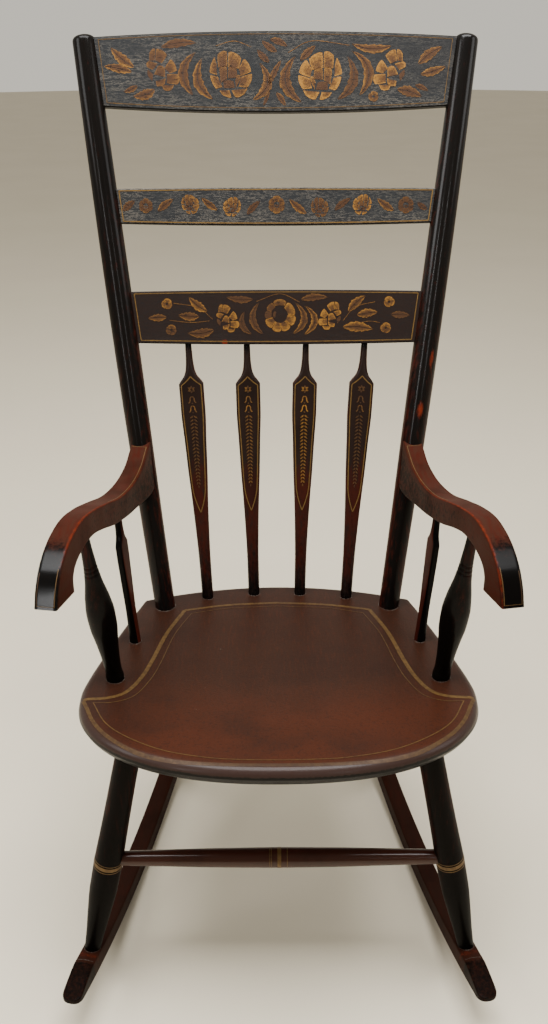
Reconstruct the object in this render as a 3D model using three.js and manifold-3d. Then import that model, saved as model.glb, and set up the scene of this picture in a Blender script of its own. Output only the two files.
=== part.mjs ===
// A Boston rocking chair: plank seat, bent back posts with three bowed slats, arrow spindles,
// scrolled arms on turned posts, four turned legs, two stretchers and a pair of rockers.
// Millimetres. x runs across (the viewer's right as the chair faces the viewer), y back from the
// seat's front edge and z up from the floor. The last lines put the origin under the middle.
import * as THREE from "three";
import { mergeVertices } from "three/addons/utils/BufferGeometryUtils.js";
import Module from "manifold-3d";

const wasm = await Module();
wasm.setup();

// Free space left all round wherever one piece is let into another
const clearance = 0.3;
const degree = Math.PI / 180;

// Plank seat, sloping back, with a rolled top edge, an undercut below and a shallow dish
const seat = {
  halfWidth: 250,
  depth: 447,
  thickness: 36,
  frontHeight: 398,
  tilt: 4.2 * degree,
  widestBehindFront: 165,
  frontFullness: 2.3,
  sideSwingShare: 0.17,
  rearCornerHalfWidth: 206,
  rearCornerBack: 374,
  rearCutHalfWidth: 197,
  rearCutBack: 406,
  rearSwingShare: 0.5,
  frontUndercut: 27,
  rearUndercut: 9,
  frontRoll: 14,
  rearRoll: 5,
  edgeBlendShare: 0.7,
  rollDrop: 7,
  dishDepth: 8,
  dishHalfWidth: 190,
  dishHalfDepth: 190,
  dishCentreBack: 248,
};
// Edge from the underside up: share of the undercut, and of the thickness below the top
const seatUndercutShares = [
  [1, 1],
  [0.6, 0.85],
  [0.2, 0.6],
  [0, 0.35],
];
// Edge over the roll: share of the roll's width, and of its drop
const seatRollShares = [
  [0.12, 1],
  [0.4, 0.4],
  [0.72, 0.1],
  [1, 0],
];
// Rings of the top, from the rim towards the middle of the dish
const seatRingShares = [0.78, 0.56, 0.36, 0.18];

// Bent, turned back posts
const post = {
  footHalfSpread: 163.5,
  footBack: 383,
  headHalfSpread: 249.7,
  headBack: 586,
  headAboveSeat: 720,
  bend: 10.5,
  bellyRadius: 17.2,
  tenonRadius: 11,
  tenonDepth: 27,
  footLetIn: 4.5,
  domeHeight: 9,
};
// Place along the post, and radius there against the belly's
const postRadiusShares = [
  [0, 0.84],
  [0.1, 0.87],
  [0.22, 0.92],
  [0.36, 0.98],
  [0.48, 1],
  [0.62, 0.99],
  [0.76, 0.96],
  [0.88, 0.92],
  [0.97, 0.885],
];
// Height in the dome on a post's head, and radius there
const postDomeShares = [
  [0, 1],
  [0.35, 0.937],
  [0.65, 0.76],
  [0.87, 0.493],
  [1, 0.25],
];

// Bowed slats, from the seat upwards. Depths are at the posts, and topShare is the share of a
// post's height above the seat at which the top edge meets it.
const slatBow = 16;
const slatEasing = 1.2;
const slatTenon = { cheek: 1.5, pastAxis: 4, insideBoard: 10 };
const slats = {
  lower_slat: {
    topShare: 0.568,
    endDepth: 68,
    arch: 2.5,
    belly: 3.5,
    thickness: 13,
    shoulder: 5,
  },
  middle_slat: {
    topShare: 0.746,
    endDepth: 44,
    arch: 3.5,
    belly: 2,
    thickness: 11,
    shoulder: 4,
  },
  crest_rail: {
    topShare: 0.997,
    endDepth: 84,
    arch: 12,
    belly: 5,
    thickness: 14,
    shoulder: 14,
  },
};

// Arrow spindles of the back; the outer pair comes first
const backSpindle = {
  footHalfSpreads: [102.7, 34.3],
  footBacks: [411, 422.5],
  headHalfSpreads: [122, 41],
  shoulderShare: 0.147,
  halfWidth: 17.1,
  halfThickness: 5,
  neckRadius: 4.3,
  footRadius: 8.2,
  headTenonRadius: 3.6,
  headTenonDepth: 14,
  headLetIn: 1.2,
  footTenonRadius: 6,
  footTenonDepth: 24,
  footLetIn: 2.4,
};

// Arrow spindle under each arm; reach runs forward from the back post
const armSpindle = {
  footHalfSpread: 195,
  footBack: 284,
  reach: 136,
  shoulderShare: 0.21,
  halfWidth: 14,
  halfThickness: 4.8,
  neckRadius: 4.9,
  footRadius: 7.7,
  headTenonRadius: 3.8,
  headTenonDepth: 13,
  headLetIn: 2.2,
  footTenonRadius: 5.8,
  footTenonDepth: 22,
  footLetIn: 2.4,
};

// Arrow form: place along the neck or the blade, then how much of the arrow's extra width and of
// its flatness is there
const arrowNeckShares = [
  [0, 0, 0],
  [0.38, 0.03, 0.1],
  [0.65, 0.14, 0.5],
  [0.8, 0.36, 0.85],
  [0.91, 0.72, 1],
  [1, 1, 1],
];
const arrowBladeShares = [
  [0.12, 1, 1],
  [0.26, 0.84, 1],
  [0.4, 0.68, 1],
  [0.53, 0.46, 0.9],
  [0.66, 0.27, 0.7],
  [0.82, 0.09, 0.3],
  [1, 0, 0],
];
// Exponent of the section's outline where the arrow is flat; a round section has 1
const arrowSquareness = 0.42;

// Turned posts under the arms
const armPost = {
  footHalfSpread: 209,
  footBack: 190,
  reach: 264,
  swellRadius: 17.6,
  headTenonRadius: 5,
  headTenonDepth: 15,
  headLetIn: 5,
  footTenonRadius: 8.5,
  footTenonDepth: 26,
  footLetIn: 4,
};
const armPostRadiusShares = [
  [0, 0.34],
  [0.17, 0.44],
  [0.3, 0.6],
  [0.42, 0.87],
  [0.52, 1],
  [0.61, 0.97],
  [0.72, 0.8],
  [0.84, 0.65],
  [0.93, 0.6],
  [0.975, 0.66],
  [1, 0.65],
];

// Scrolled arms, sawn from a straight board and set out towards the front
const arm = {
  length: 397,
  lowestAboveSeat: 143,
  rise: 99,
  thickness: 25.5,
  rearInset: 2.5,
  frontHalfSpread: 249.7,
  easing: 1.6,
};
// Outline of the board: reach forward from the back post, and rise above the arm's lowest point
const armTopShares = [
  [-0.008, 0.735],
  [0.06, 0.64],
  [0.14, 0.54],
  [0.25, 0.51],
  [0.385, 0.59],
  [0.525, 0.775],
  [0.64, 0.92],
  [0.74, 1],
  [0.82, 0.985],
  [0.885, 0.91],
  [0.94, 0.77],
  [0.975, 0.6],
  [0.995, 0.42],
];
const armUndersideShares = [
  [0.852, 0.32],
  [0.848, 0.5],
  [0.815, 0.61],
  [0.745, 0.66],
  [0.66, 0.635],
  [0.575, 0.525],
  [0.47, 0.36],
  [0.355, 0.225],
  [0.25, 0.13],
  [0.12, 0.045],
  [0.03, 0.015],
];
const armDowel = { radius: 5, rise: 40, intoArm: 30 };

// Turned legs, tenoned into the seat and into the rockers
const leg = {
  swellRadius: 18,
  headTenonRadius: 12,
  headTenonDepth: 25,
  headLetIn: 6,
  footTenonRadius: 8,
  footTenonDepth: 17,
  footLetIn: 4,
};
const legPlaces = {
  front: { headHalfSpread: 181, headBack: 71, footBack: 52 },
  rear: { headHalfSpread: 142, headBack: 352, footBack: 427 },
};
// From the seat down to the rocker
const legRadiusShares = [
  [0, 0.84],
  [0.2, 0.88],
  [0.38, 0.94],
  [0.53, 1],
  [0.66, 0.98],
  [0.78, 0.85],
  [0.9, 0.68],
  [1, 0.575],
];

// Turned stretcher between the legs of each pair
const stretcher = {
  middleRadius: 12.3,
  tenonRadius: 6.5,
  tenonDepth: 14,
  letIn: 3.2,
  heightShare: 0.508,
};
const stretcherRadiusShares = [
  [0, 0.73],
  [0.14, 0.82],
  [0.32, 0.95],
  [0.5, 1],
  [0.68, 0.95],
  [0.86, 0.82],
  [1, 0.73],
];

// Rockers, set narrower at the back; contactBack is where they meet the floor
const rocker = {
  radius: 1070,
  depth: 25,
  width: 25.5,
  footHalfSpread: 245,
  toeShare: 0.18,
  contactBack: 294,
  flatLength: 36,
  frontReach: 330,
  backReach: 445,
  noseLength: 50,
  noseTipDepth: 7,
  tailLength: 45,
  tailTipDepth: 9,
  tipHalfWidth: 7,
  tipRounding: 9,
  easing: 1.6,
};
const rockerEndShares = [0, 0.4, 0.75, 0.92, 1];

// Pins that lock the crest rail
const crestPin = { radius: 2.6, frontCover: 6 };

// Number of sides of round sections and of steps along curves
const sidesOf = { post: 14, leg: 12, armPost: 12, stretcher: 12, spindle: 12, pin: 8 };
const stepsOf = {
  seatFront: 11,
  seatSide: 4,
  seatRear: 4,
  slat: 12,
  tenon: 2,
  armTop: 19,
  armUnderside: 16,
};

const paints = {
  black: { color: 0x211e20, roughness: 0.45, metalness: 0 },
  redBrown: { color: 0x3a1f1a, roughness: 0.45, metalness: 0 },
  seatBrown: { color: 0x45281e, roughness: 0.4, metalness: 0 },
};

const chair = new THREE.Group();
const vector = (x, y, z) => new THREE.Vector3(x, y, z);
const mix = THREE.MathUtils.lerp;
const forwards = vector(0, -1, 0);
const bothSides = { left: -1, right: 1 };

function meshOf(name, geometry, paint) {
  const mesh = new THREE.Mesh(geometry, new THREE.MeshStandardMaterial(paints[paint]));
  mesh.name = name;
  return mesh;
}

// Mesh that only cuts a socket or hole
const cutterOf = (geometry) => meshOf("", geometry, "black");

// Closed body through rings of equally many points, closed by a fan at each end
function loft(rings) {
  const count = rings[0].length;
  const points = rings.flat();
  const index = [];
  for (let r = 0; r + 1 < rings.length; r++) {
    for (let i = 0; i < count; i++) {
      const a = r * count + i;
      const b = r * count + ((i + 1) % count);
      index.push(a, b, b + count, a, b + count, a + count);
    }
  }
  const middle = (ring) => ring.reduce((sum, p) => sum.add(p), vector(0, 0, 0)).divideScalar(count);
  const last = (rings.length - 1) * count;
  const first = points.push(middle(rings[0])) - 1;
  const end = points.push(middle(rings[rings.length - 1])) - 1;
  for (let i = 0; i < count; i++) {
    const next = (i + 1) % count;
    index.push(first, next, i);
    index.push(end, last + i, last + next);
  }
  return facingOut(new THREE.BufferGeometry().setFromPoints(points).setIndex(index));
}

// Turns every face round when the body's signed volume is negative
function facingOut(geometry) {
  const place = geometry.attributes.position;
  const index = geometry.index.array;
  const [a, b, c] = [vector(0, 0, 0), vector(0, 0, 0), vector(0, 0, 0)];
  let volume = 0;
  for (let i = 0; i < index.length; i += 3) {
    a.fromBufferAttribute(place, index[i]);
    b.fromBufferAttribute(place, index[i + 1]);
    c.fromBufferAttribute(place, index[i + 2]);
    volume += a.dot(b.cross(c));
  }
  if (volume < 0) {
    for (let i = 0; i < index.length; i += 3) {
      [index[i + 1], index[i + 2]] = [index[i + 2], index[i + 1]];
    }
  }
  return geometry;
}

function solidOf(geometry) {
  const bare = geometry.clone();
  bare.deleteAttribute("normal");
  bare.deleteAttribute("uv");
  const merged = mergeVertices(bare);
  const vertProperties = merged.attributes.position.array;
  const triVerts = new Uint32Array(merged.index.array);
  return new wasm.Manifold(new wasm.Mesh({ numProp: 3, vertProperties, triVerts }));
}

function geometryOf(solid) {
  const mesh = solid.getMesh();
  const geometry = new THREE.BufferGeometry();
  geometry.setAttribute("position", new THREE.BufferAttribute(mesh.vertProperties, 3));
  geometry.setIndex(new THREE.BufferAttribute(mesh.triVerts, 1));
  geometry.computeVertexNormals();
  return geometry;
}

// Geometry of one mesh, moved into the frame of another
function inFrameOf(carrier, mesh) {
  carrier.updateWorldMatrix(true, false);
  mesh.updateWorldMatrix(true, false);
  const move = carrier.matrixWorld.clone().invert().multiply(mesh.matrixWorld);
  return mesh.geometry.clone().applyMatrix4(move);
}

function cut(carrier, cutter) {
  const cutting = solidOf(carrier.geometry).subtract(solidOf(inFrameOf(carrier, cutter)));
  carrier.geometry = geometryOf(cutting);
}

function join(carrier, piece) {
  const joined = solidOf(carrier.geometry).add(solidOf(inFrameOf(carrier, piece)));
  carrier.geometry = geometryOf(joined);
}

// Puts a piece made along +Y from its own origin on the line between two points, +Z facing out
function setAlong(mesh, from, to, facing) {
  const along = to.clone().sub(from).normalize();
  const across = along.clone().cross(facing).normalize();
  const out = across.clone().cross(along);
  mesh.position.copy(from);
  mesh.quaternion.setFromRotationMatrix(new THREE.Matrix4().makeBasis(across, along, out));
  return mesh;
}

// Value at a place in a table of [place, value] shares
function shareAt(table, along) {
  for (let i = 1; i < table.length; i++) {
    const [x0, y0] = table[i - 1];
    const [x1, y1] = table[i];
    if (along <= x1) return mix(y0, y1, (along - x0) / (x1 - x0));
  }
  return table[table.length - 1][1];
}

// Turned piece along +Y from its head, with its shoulders let in and a tenon past each of them
function turned(length, radius, shares, ends, sides, grow) {
  const head = -ends.headLetIn - grow;
  const foot = length + ends.footLetIn + grow;
  const tip = -ends.headTenonDepth - grow;
  const toe = length + ends.footTenonDepth + grow;
  const body = shares.map(([along, wide]) => [radius * wide + grow, along * length]);
  body[0][1] = head;
  body[body.length - 1][1] = foot;
  const profile = [
    [0, tip],
    [ends.headTenonRadius + grow, tip],
    [ends.headTenonRadius + grow, head],
    ...body,
    [ends.footTenonRadius + grow, foot],
    [ends.footTenonRadius + grow, toe],
    [0, toe],
  ];
  return new THREE.LatheGeometry(profile.map(([r, t]) => new THREE.Vector2(r, t)), sides);
}

// Arrow spindle along +Y from its head, flat across Z, with a tenon at each end
function arrow(length, size, grow) {
  const ring = (along, halfWidth, halfThickness, flatness) => {
    const power = mix(1, arrowSquareness, flatness);
    const points = [];
    for (let i = 0; i < sidesOf.spindle; i++) {
      const turn = (2 * Math.PI * (i + 0.5)) / sidesOf.spindle;
      const wide = Math.sign(Math.cos(turn)) * Math.abs(Math.cos(turn)) ** power;
      const thick = Math.sign(Math.sin(turn)) * Math.abs(Math.sin(turn)) ** power;
      points.push(vector((halfWidth + grow) * wide, along, (halfThickness + grow) * thick));
    }
    return points;
  };
  const peg = (along, radius) => ring(along, radius, radius, 0);
  const shoulder = size.shoulderShare;
  const neck = arrowNeckShares.map(([t, ...rest]) => [t * shoulder, ...rest]);
  const blade = arrowBladeShares.map(([t, ...rest]) => [mix(shoulder, 1, t), ...rest]);
  const body = [...neck, ...blade].map(([along, extra, flatness]) => {
    const round = mix(size.neckRadius, size.footRadius, along);
    const halfWidth = mix(round, size.halfWidth, extra);
    const halfThickness = mix(round, size.halfThickness, flatness);
    return ring(along * length, halfWidth, halfThickness, flatness);
  });
  const head = -size.headLetIn - grow;
  const foot = length + size.footLetIn + grow;
  return loft([
    peg(-size.headTenonDepth - grow, size.headTenonRadius),
    peg(head, size.headTenonRadius),
    peg(head, size.neckRadius),
    ...body,
    peg(foot, size.footRadius),
    peg(foot, size.footTenonRadius),
    peg(length + size.footTenonDepth + grow, size.footTenonRadius),
  ]);
}

// Makes a piece between two points, and cuts its socket into each piece that carries it
function stand(name, make, paint, from, to, facing, carriers) {
  const piece = setAlong(meshOf(name, make(0), paint), from, to, facing);
  const cutter = setAlong(cutterOf(make(clearance)), from, to, facing);
  chair.add(piece);
  for (const carrier of carriers) cut(carrier, cutter);
  return piece;
}

// Round pin between two points, driven in from the first, which stays open
function pin(name, radius, from, to, facing, carriers) {
  const make = (grow) => {
    const length = from.distanceTo(to) + grow;
    const rod = new THREE.CylinderGeometry(radius + grow, radius + grow, length, sidesOf.pin);
    return rod.translate(0, length / 2, 0);
  };
  return stand(name, make, "black", from, to, facing, carriers);
}

// Plank seat

const aboveSeat = (rise) => seat.frontHeight + rise;
const seatTopAt = (back) => aboveSeat(-back * Math.tan(seat.tilt));
const seatUndersideAt = (back) => seatTopAt(back) - seat.thickness / Math.cos(seat.tilt);

// Half outline from the front's middle round to the rear's middle, as the seat lies flat
function seatHalfOutline() {
  const points = [];
  const power = 2 / seat.frontFullness;
  for (let i = 0; i < stepsOf.seatFront; i++) {
    const turn = (i / stepsOf.seatFront) * 0.5 * Math.PI;
    const x = seat.halfWidth * Math.sin(turn) ** power;
    const y = seat.widestBehindFront * (1 - Math.cos(turn) ** power);
    points.push(new THREE.Vector2(x, y));
  }
  const widest = new THREE.Vector2(seat.halfWidth, seat.widestBehindFront);
  const corner = new THREE.Vector2(seat.rearCornerHalfWidth, seat.rearCornerBack);
  const sideSwing = new THREE.Vector2(seat.halfWidth, mix(widest.y, corner.y, seat.sideSwingShare));
  const cutBack = new THREE.Vector2(seat.rearCutHalfWidth, seat.rearCutBack);
  const rearSwing = new THREE.Vector2(seat.rearCutHalfWidth * seat.rearSwingShare, seat.depth);
  const rearMiddle = new THREE.Vector2(0, seat.depth);
  const side = new THREE.QuadraticBezierCurve(widest, sideSwing, corner);
  const rear = new THREE.QuadraticBezierCurve(cutBack, rearSwing, rearMiddle);
  return [...points, ...side.getPoints(stepsOf.seatSide), ...rear.getPoints(stepsOf.seatRear)];
}

function seatOutline() {
  const half = seatHalfOutline();
  const inner = half.slice(1, -1).reverse();
  return [...half, ...inner.map((p) => new THREE.Vector2(-p.x, p.y))];
}

// The outline moved inwards, by a different distance at the front and at the rear
function insetOutline(outline, atFront, atRear) {
  return outline.map((p, i) => {
    const before = outline[(i + outline.length - 1) % outline.length];
    const after = outline[(i + 1) % outline.length];
    const inward = new THREE.Vector2(before.y - after.y, after.x - before.x).normalize();
    const frontness = Math.max(0, 1 - p.y / seat.depth) ** seat.edgeBlendShare;
    return p.clone().addScaledVector(inward, mix(atRear, atFront, frontness));
  });
}

function dishAt(x, y) {
  const q = (x / seat.dishHalfWidth) ** 2 + ((y - seat.dishCentreBack) / seat.dishHalfDepth) ** 2;
  return q < 1 ? seat.dishDepth * (1 - q) ** 2 : 0;
}

function seatGeometry() {
  const outline = seatOutline();
  const ring = (atFront, atRear, drop) =>
    insetOutline(outline, atFront, atRear).map((p) => vector(p.x, p.y, -drop));
  const below = seatUndercutShares.map(([inset, drop]) =>
    ring(seat.frontUndercut * inset, seat.rearUndercut * inset, seat.thickness * drop),
  );
  const roll = seatRollShares.map(([inset, drop]) =>
    ring(seat.frontRoll * inset, seat.rearRoll * inset, seat.rollDrop * drop),
  );
  const rim = roll[roll.length - 1];
  const top = seatRingShares.map((share) =>
    rim.map((p) => {
      const [x, y] = [p.x * share, mix(seat.dishCentreBack, p.y, share)];
      return vector(x, y, -dishAt(x, y));
    }),
  );
  return loft([...below, ...roll, ...top]);
}

const seatGroup = new THREE.Group();
seatGroup.position.set(0, 0, seat.frontHeight);
seatGroup.rotation.x = -seat.tilt;
chair.add(seatGroup);
const plank = meshOf("seat_plank", seatGeometry(), "seatBrown");
seatGroup.add(plank);

// Back posts

function postLine(side) {
  const foot = vector(side * post.footHalfSpread, post.footBack, seatTopAt(post.footBack));
  const headHeight = aboveSeat(post.headAboveSeat);
  const head = vector(side * post.headHalfSpread, post.headBack, headHeight);
  const swing = foot.clone().lerp(head, 0.5);
  swing.y -= 2 * post.bend;
  return new THREE.QuadraticBezierCurve3(foot, swing, head);
}

// Axis, direction and radius of a post at a height above the floor
function postPlace(side, height) {
  const line = postLine(side);
  const along = THREE.MathUtils.clamp((height - line.v0.z) / (line.v2.z - line.v0.z), 0, 1);
  const radius = post.bellyRadius * shareAt(postRadiusShares, along);
  return { at: line.getPoint(along), along: line.getTangent(along), radius };
}

function postGeometry(side, grow) {
  const line = postLine(side);
  const ring = (at, along, radius) => {
    const across = vector(0, 1, 0).cross(along).normalize();
    const front = along.clone().cross(across);
    const points = [];
    for (let i = 0; i < sidesOf.post; i++) {
      const turn = (2 * Math.PI * i) / sidesOf.post;
      const p = at.clone().addScaledVector(across, radius * Math.cos(turn));
      points.push(p.addScaledVector(front, radius * Math.sin(turn)));
    }
    return points;
  };
  const down = line.getTangent(0);
  const below = (depth) => line.v0.clone().addScaledVector(down, -depth);
  const [[, footShare], ...bodyShares] = postRadiusShares;
  const body = bodyShares.map(([along, wide]) =>
    ring(line.getPoint(along), line.getTangent(along), post.bellyRadius * wide + grow),
  );
  const up = line.getTangent(1);
  const headRadius = post.bellyRadius * shareAt(postRadiusShares, 1) + grow;
  const dome = postDomeShares.map(([rise, wide]) => {
    const height = (post.domeHeight + grow) * rise - post.domeHeight;
    return ring(line.v2.clone().addScaledVector(up, height), up, headRadius * wide);
  });
  return loft([
    ring(below(post.tenonDepth + grow), down, post.tenonRadius + grow),
    ring(below(post.footLetIn + grow), down, post.tenonRadius + grow),
    ring(below(post.footLetIn + grow), down, post.bellyRadius * footShare + grow),
    ...body,
    ...dome,
  ]);
}

const posts = {};
const postCutters = {};
for (const [name, side] of Object.entries(bothSides)) {
  posts[name] = meshOf(`${name}_back_post`, postGeometry(side, 0), "black");
  postCutters[name] = cutterOf(postGeometry(side, clearance));
  chair.add(posts[name]);
  cut(plank, postCutters[name]);
}

// Slats

// Board between two places across, following a bow that is deepest between the posts. Its edges
// are given as heights for each share of the bow, and are chamfered.
function board(halfSpan, from, to, steps, halfThickness, top, bottom) {
  const rings = [];
  for (let i = 0; i <= steps; i++) {
    const x = mix(from, to, i / steps);
    const bowShare = 1 - (x / halfSpan) ** 2;
    const y = slatBow * bowShare;
    const [t, b] = [top(bowShare), bottom(bowShare)];
    const e = Math.min(slatEasing, halfThickness / 2);
    rings.push([
      vector(x, y - halfThickness, b + e),
      vector(x, y - halfThickness + e, b),
      vector(x, y + halfThickness - e, b),
      vector(x, y + halfThickness, b + e),
      vector(x, y + halfThickness, t - e),
      vector(x, y + halfThickness - e, t),
      vector(x, y - halfThickness + e, t),
      vector(x, y - halfThickness, t - e),
    ]);
  }
  return loft(rings);
}

// Where a slat meets the posts, and how it leans with them
function slatPlace(slat) {
  const centre = aboveSeat(slat.topShare * post.headAboveSeat) - slat.endDepth / 2;
  const { at, along, radius } = postPlace(1, centre);
  return { halfSpan: at.x, back: at.y, centre, rake: Math.atan2(along.y, along.z), radius };
}

function slatMesh(name, slat) {
  const { halfSpan, back, centre, rake, radius } = slatPlace(slat);
  const halfThickness = slat.thickness / 2;
  const halfDepth = slat.endDepth / 2;
  const frame = new THREE.Group();
  frame.position.set(0, back, centre);
  frame.rotation.x = -rake;
  chair.add(frame);
  const top = (bowShare) => halfDepth + slat.arch * bowShare;
  const bottom = (bowShare) => -halfDepth - slat.belly * bowShare;
  const main = board(halfSpan, -halfSpan, halfSpan, stepsOf.slat, halfThickness, top, bottom);
  const mesh = meshOf(name, main, "black");
  frame.add(mesh);
  for (const [sideName, side] of Object.entries(bothSides)) {
    cut(mesh, postCutters[sideName]);
    const tenonBoard = (grow) => {
      const inner = side * (halfSpan - radius - slatTenon.insideBoard);
      const outer = side * (halfSpan + slatTenon.pastAxis + grow);
      const high = halfDepth - slat.shoulder + grow;
      const thick = halfThickness - slatTenon.cheek + grow;
      return board(halfSpan, inner, outer, stepsOf.tenon, thick, () => high, () => -high);
    };
    const tenon = cutterOf(tenonBoard(0));
    const mortise = cutterOf(tenonBoard(clearance));
    frame.add(tenon, mortise);
    join(mesh, tenon);
    cut(posts[sideName], mortise);
    frame.remove(tenon, mortise);
  }
  return mesh;
}

const slatMeshes = {};
for (const [name, slat] of Object.entries(slats)) slatMeshes[name] = slatMesh(name, slat);

// Spindles of the back, from the seat up into the lower slat

function lowerSlatUndersideAt(x) {
  const slat = slats.lower_slat;
  const { halfSpan, back, centre, rake } = slatPlace(slat);
  const bowShare = 1 - (x / halfSpan) ** 2;
  const y = slatBow * bowShare;
  const z = -slat.endDepth / 2 - slat.belly * bowShare;
  const leanBack = y * Math.cos(rake) + z * Math.sin(rake);
  return vector(x, back + leanBack, centre - y * Math.sin(rake) + z * Math.cos(rake));
}

const [outer, inner] = [0, 1];
const spindlePlaces = [
  [-1, outer],
  [-1, inner],
  [1, inner],
  [1, outer],
];
spindlePlaces.forEach(([side, which], i) => {
  const back = backSpindle.footBacks[which];
  const foot = vector(side * backSpindle.footHalfSpreads[which], back, seatTopAt(back));
  const head = lowerSlatUndersideAt(side * backSpindle.headHalfSpreads[which]);
  const make = (grow) => arrow(head.distanceTo(foot), backSpindle, grow);
  const carriers = [plank, slatMeshes.lower_slat];
  stand(`back_spindle_${i + 1}`, make, "black", head, foot, forwards, carriers);
});

// Arms

const armPoint = ([along, up]) => new THREE.Vector2(along * arm.length, up * arm.rise);
const armTop = new THREE.SplineCurve(armTopShares.map(armPoint));
const armUnderside = new THREE.SplineCurve(armUndersideShares.map(armPoint));

// Height of the underside above the arm's lowest point at a reach, by halving along its curve
function armUndersideRise(reach) {
  let [front, rear] = [0, 1];
  while (rear - front > Number.EPSILON) {
    const middle = (front + rear) / 2;
    if (middle === front || middle === rear) break;
    if (armUnderside.getPoint(middle).x > reach) front = middle;
    else rear = middle;
  }
  return armUnderside.getPoint(rear).y;
}

function armGeometry() {
  const top = armTop.getPoints(stepsOf.armTop);
  const outline = new THREE.Shape([...top, ...armUnderside.getPoints(stepsOf.armUnderside)]);
  const geometry = new THREE.ExtrudeGeometry(outline, {
    depth: arm.thickness - 2 * arm.easing,
    bevelThickness: arm.easing,
    bevelSize: arm.easing,
    bevelOffset: -arm.easing,
    bevelSegments: 1,
  });
  return geometry.translate(0, 0, arm.easing - arm.thickness / 2);
}

// Start of the arm's middle plane, and its level direction forwards
function armPlane(side) {
  const lowest = aboveSeat(arm.lowestAboveSeat);
  const { at } = postPlace(side, lowest + arm.rise / 2);
  const start = vector(at.x - side * arm.rearInset, at.y, lowest);
  const swing = side * arm.frontHalfSpread - start.x;
  const forward = vector(swing, -Math.sqrt(arm.length ** 2 - swing ** 2), 0).normalize();
  return { start, forward };
}

for (const [name, side] of Object.entries(bothSides)) {
  const { start, forward } = armPlane(side);
  const up = vector(0, 0, 1);
  const across = forward.clone().cross(up);
  const frame = new THREE.Group();
  frame.quaternion.setFromRotationMatrix(new THREE.Matrix4().makeBasis(forward, up, across));
  frame.position.copy(start);
  chair.add(frame);
  const mesh = meshOf(`${name}_arm`, armGeometry(), "redBrown");
  frame.add(mesh);
  cut(mesh, postCutters[name]);

  // Where a stand's head meets the arm, and where its foot meets the seat
  const headAt = (reach) => start.clone().addScaledVector(forward, reach);
  const places = (size) => {
    const head = headAt(size.reach).addScaledVector(up, armUndersideRise(size.reach));
    const foot = vector(side * size.footHalfSpread, size.footBack, seatTopAt(size.footBack));
    return { head, foot, length: head.distanceTo(foot) };
  };
  const carriers = [plank, mesh];
  const inwards = across.clone().multiplyScalar(side);

  const turnedPost = places(armPost);
  const makePost = (grow) => {
    const { swellRadius } = armPost;
    const { length } = turnedPost;
    return turned(length, swellRadius, armPostRadiusShares, armPost, sidesOf.armPost, grow);
  };
  const { head: postHead, foot: postFoot } = turnedPost;
  stand(`${name}_arm_post`, makePost, "black", postHead, postFoot, inwards, carriers);

  const flat = places(armSpindle);
  const makeSpindle = (grow) => arrow(flat.length, armSpindle, grow);
  stand(`${name}_arm_spindle`, makeSpindle, "black", flat.head, flat.foot, inwards, carriers);

  // Dowel driven from behind, through the back post and into the arm
  const { at, radius } = postPlace(side, start.z + armDowel.rise);
  const rear = at.clone().addScaledVector(forward, -radius - clearance);
  const tip = at.clone().addScaledVector(forward, radius + armDowel.intoArm);
  pin(`${name}_arm_dowel`, armDowel.radius, rear, tip, up, [posts[name], mesh]);

  // Pin that locks the crest rail's tenon, driven from behind
  const crest = postPlace(side, slatPlace(slats.crest_rail).centre);
  const square = forwards.clone().addScaledVector(crest.along, crest.along.y).normalize();
  const pinRear = crest.at.clone().addScaledVector(square, -crest.radius - clearance);
  const pinTip = crest.at.clone().addScaledVector(square, crest.radius - crestPin.frontCover);
  const pinned = [posts[name], slatMeshes.crest_rail];
  pin(`${name}_crest_pin`, crestPin.radius, pinRear, pinTip, crest.along, pinned);
}

// Rockers

// Height of the underside at a distance behind the middle of the flat that meets the floor
function rockerUnderside(along) {
  const rise = (s) => rocker.radius - Math.sqrt(rocker.radius ** 2 - s ** 2);
  return rise(along) - rise(rocker.flatLength / 2);
}

function rockerStations() {
  const stations = [];
  const step = rocker.flatLength;
  for (let s = step / 2; s < rocker.frontReach - rocker.noseLength; s += step) stations.push(-s);
  for (let s = step / 2; s < rocker.backReach - rocker.tailLength; s += step) stations.push(s);
  for (const share of rockerEndShares) {
    stations.push(-rocker.frontReach + rocker.noseLength * (1 - share));
    stations.push(rocker.backReach - rocker.tailLength * (1 - share));
  }
  return stations.sort((a, b) => a - b);
}

// The nose slopes down in front, the tail rounds down behind, and both are rounded as seen from above
function rockerSection(along) {
  const toNose = rocker.frontReach + along;
  const toTail = rocker.backReach - along;
  const nose = mix(rocker.noseTipDepth, rocker.depth, Math.min(1, toNose / rocker.noseLength));
  const tailShare = Math.sqrt(Math.min(1, toTail / rocker.tailLength));
  const tail = mix(rocker.tailTipDepth, rocker.depth, tailShare);
  const rounding = Math.min(1, Math.min(toNose, toTail) / rocker.tipRounding);
  const halfWidth = mix(rocker.tipHalfWidth, rocker.width / 2, Math.sqrt(1 - (1 - rounding) ** 2));
  return { low: rockerUnderside(along), depth: Math.min(nose, tail), halfWidth };
}

function rockerGeometry() {
  const e = rocker.easing;
  return loft(
    rockerStations().map((along) => {
      const { low, depth, halfWidth: w } = rockerSection(along);
      const high = low + depth;
      return [
        vector(-w + e, along, low),
        vector(w - e, along, low),
        vector(w, along, low + e),
        vector(w, along, high - e),
        vector(w - e, along, high),
        vector(-w + e, along, high),
        vector(-w, along, high - e),
        vector(-w, along, low + e),
      ];
    }),
  );
}

const rockerHalfSpreadAt = (back) =>
  rocker.footHalfSpread - (back - legPlaces.front.footBack) * rocker.toeShare;
const rockerTopAt = (back) => {
  const along = (back - rocker.contactBack) / Math.cos(Math.atan(rocker.toeShare));
  return rockerUnderside(along) + rocker.depth;
};

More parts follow.
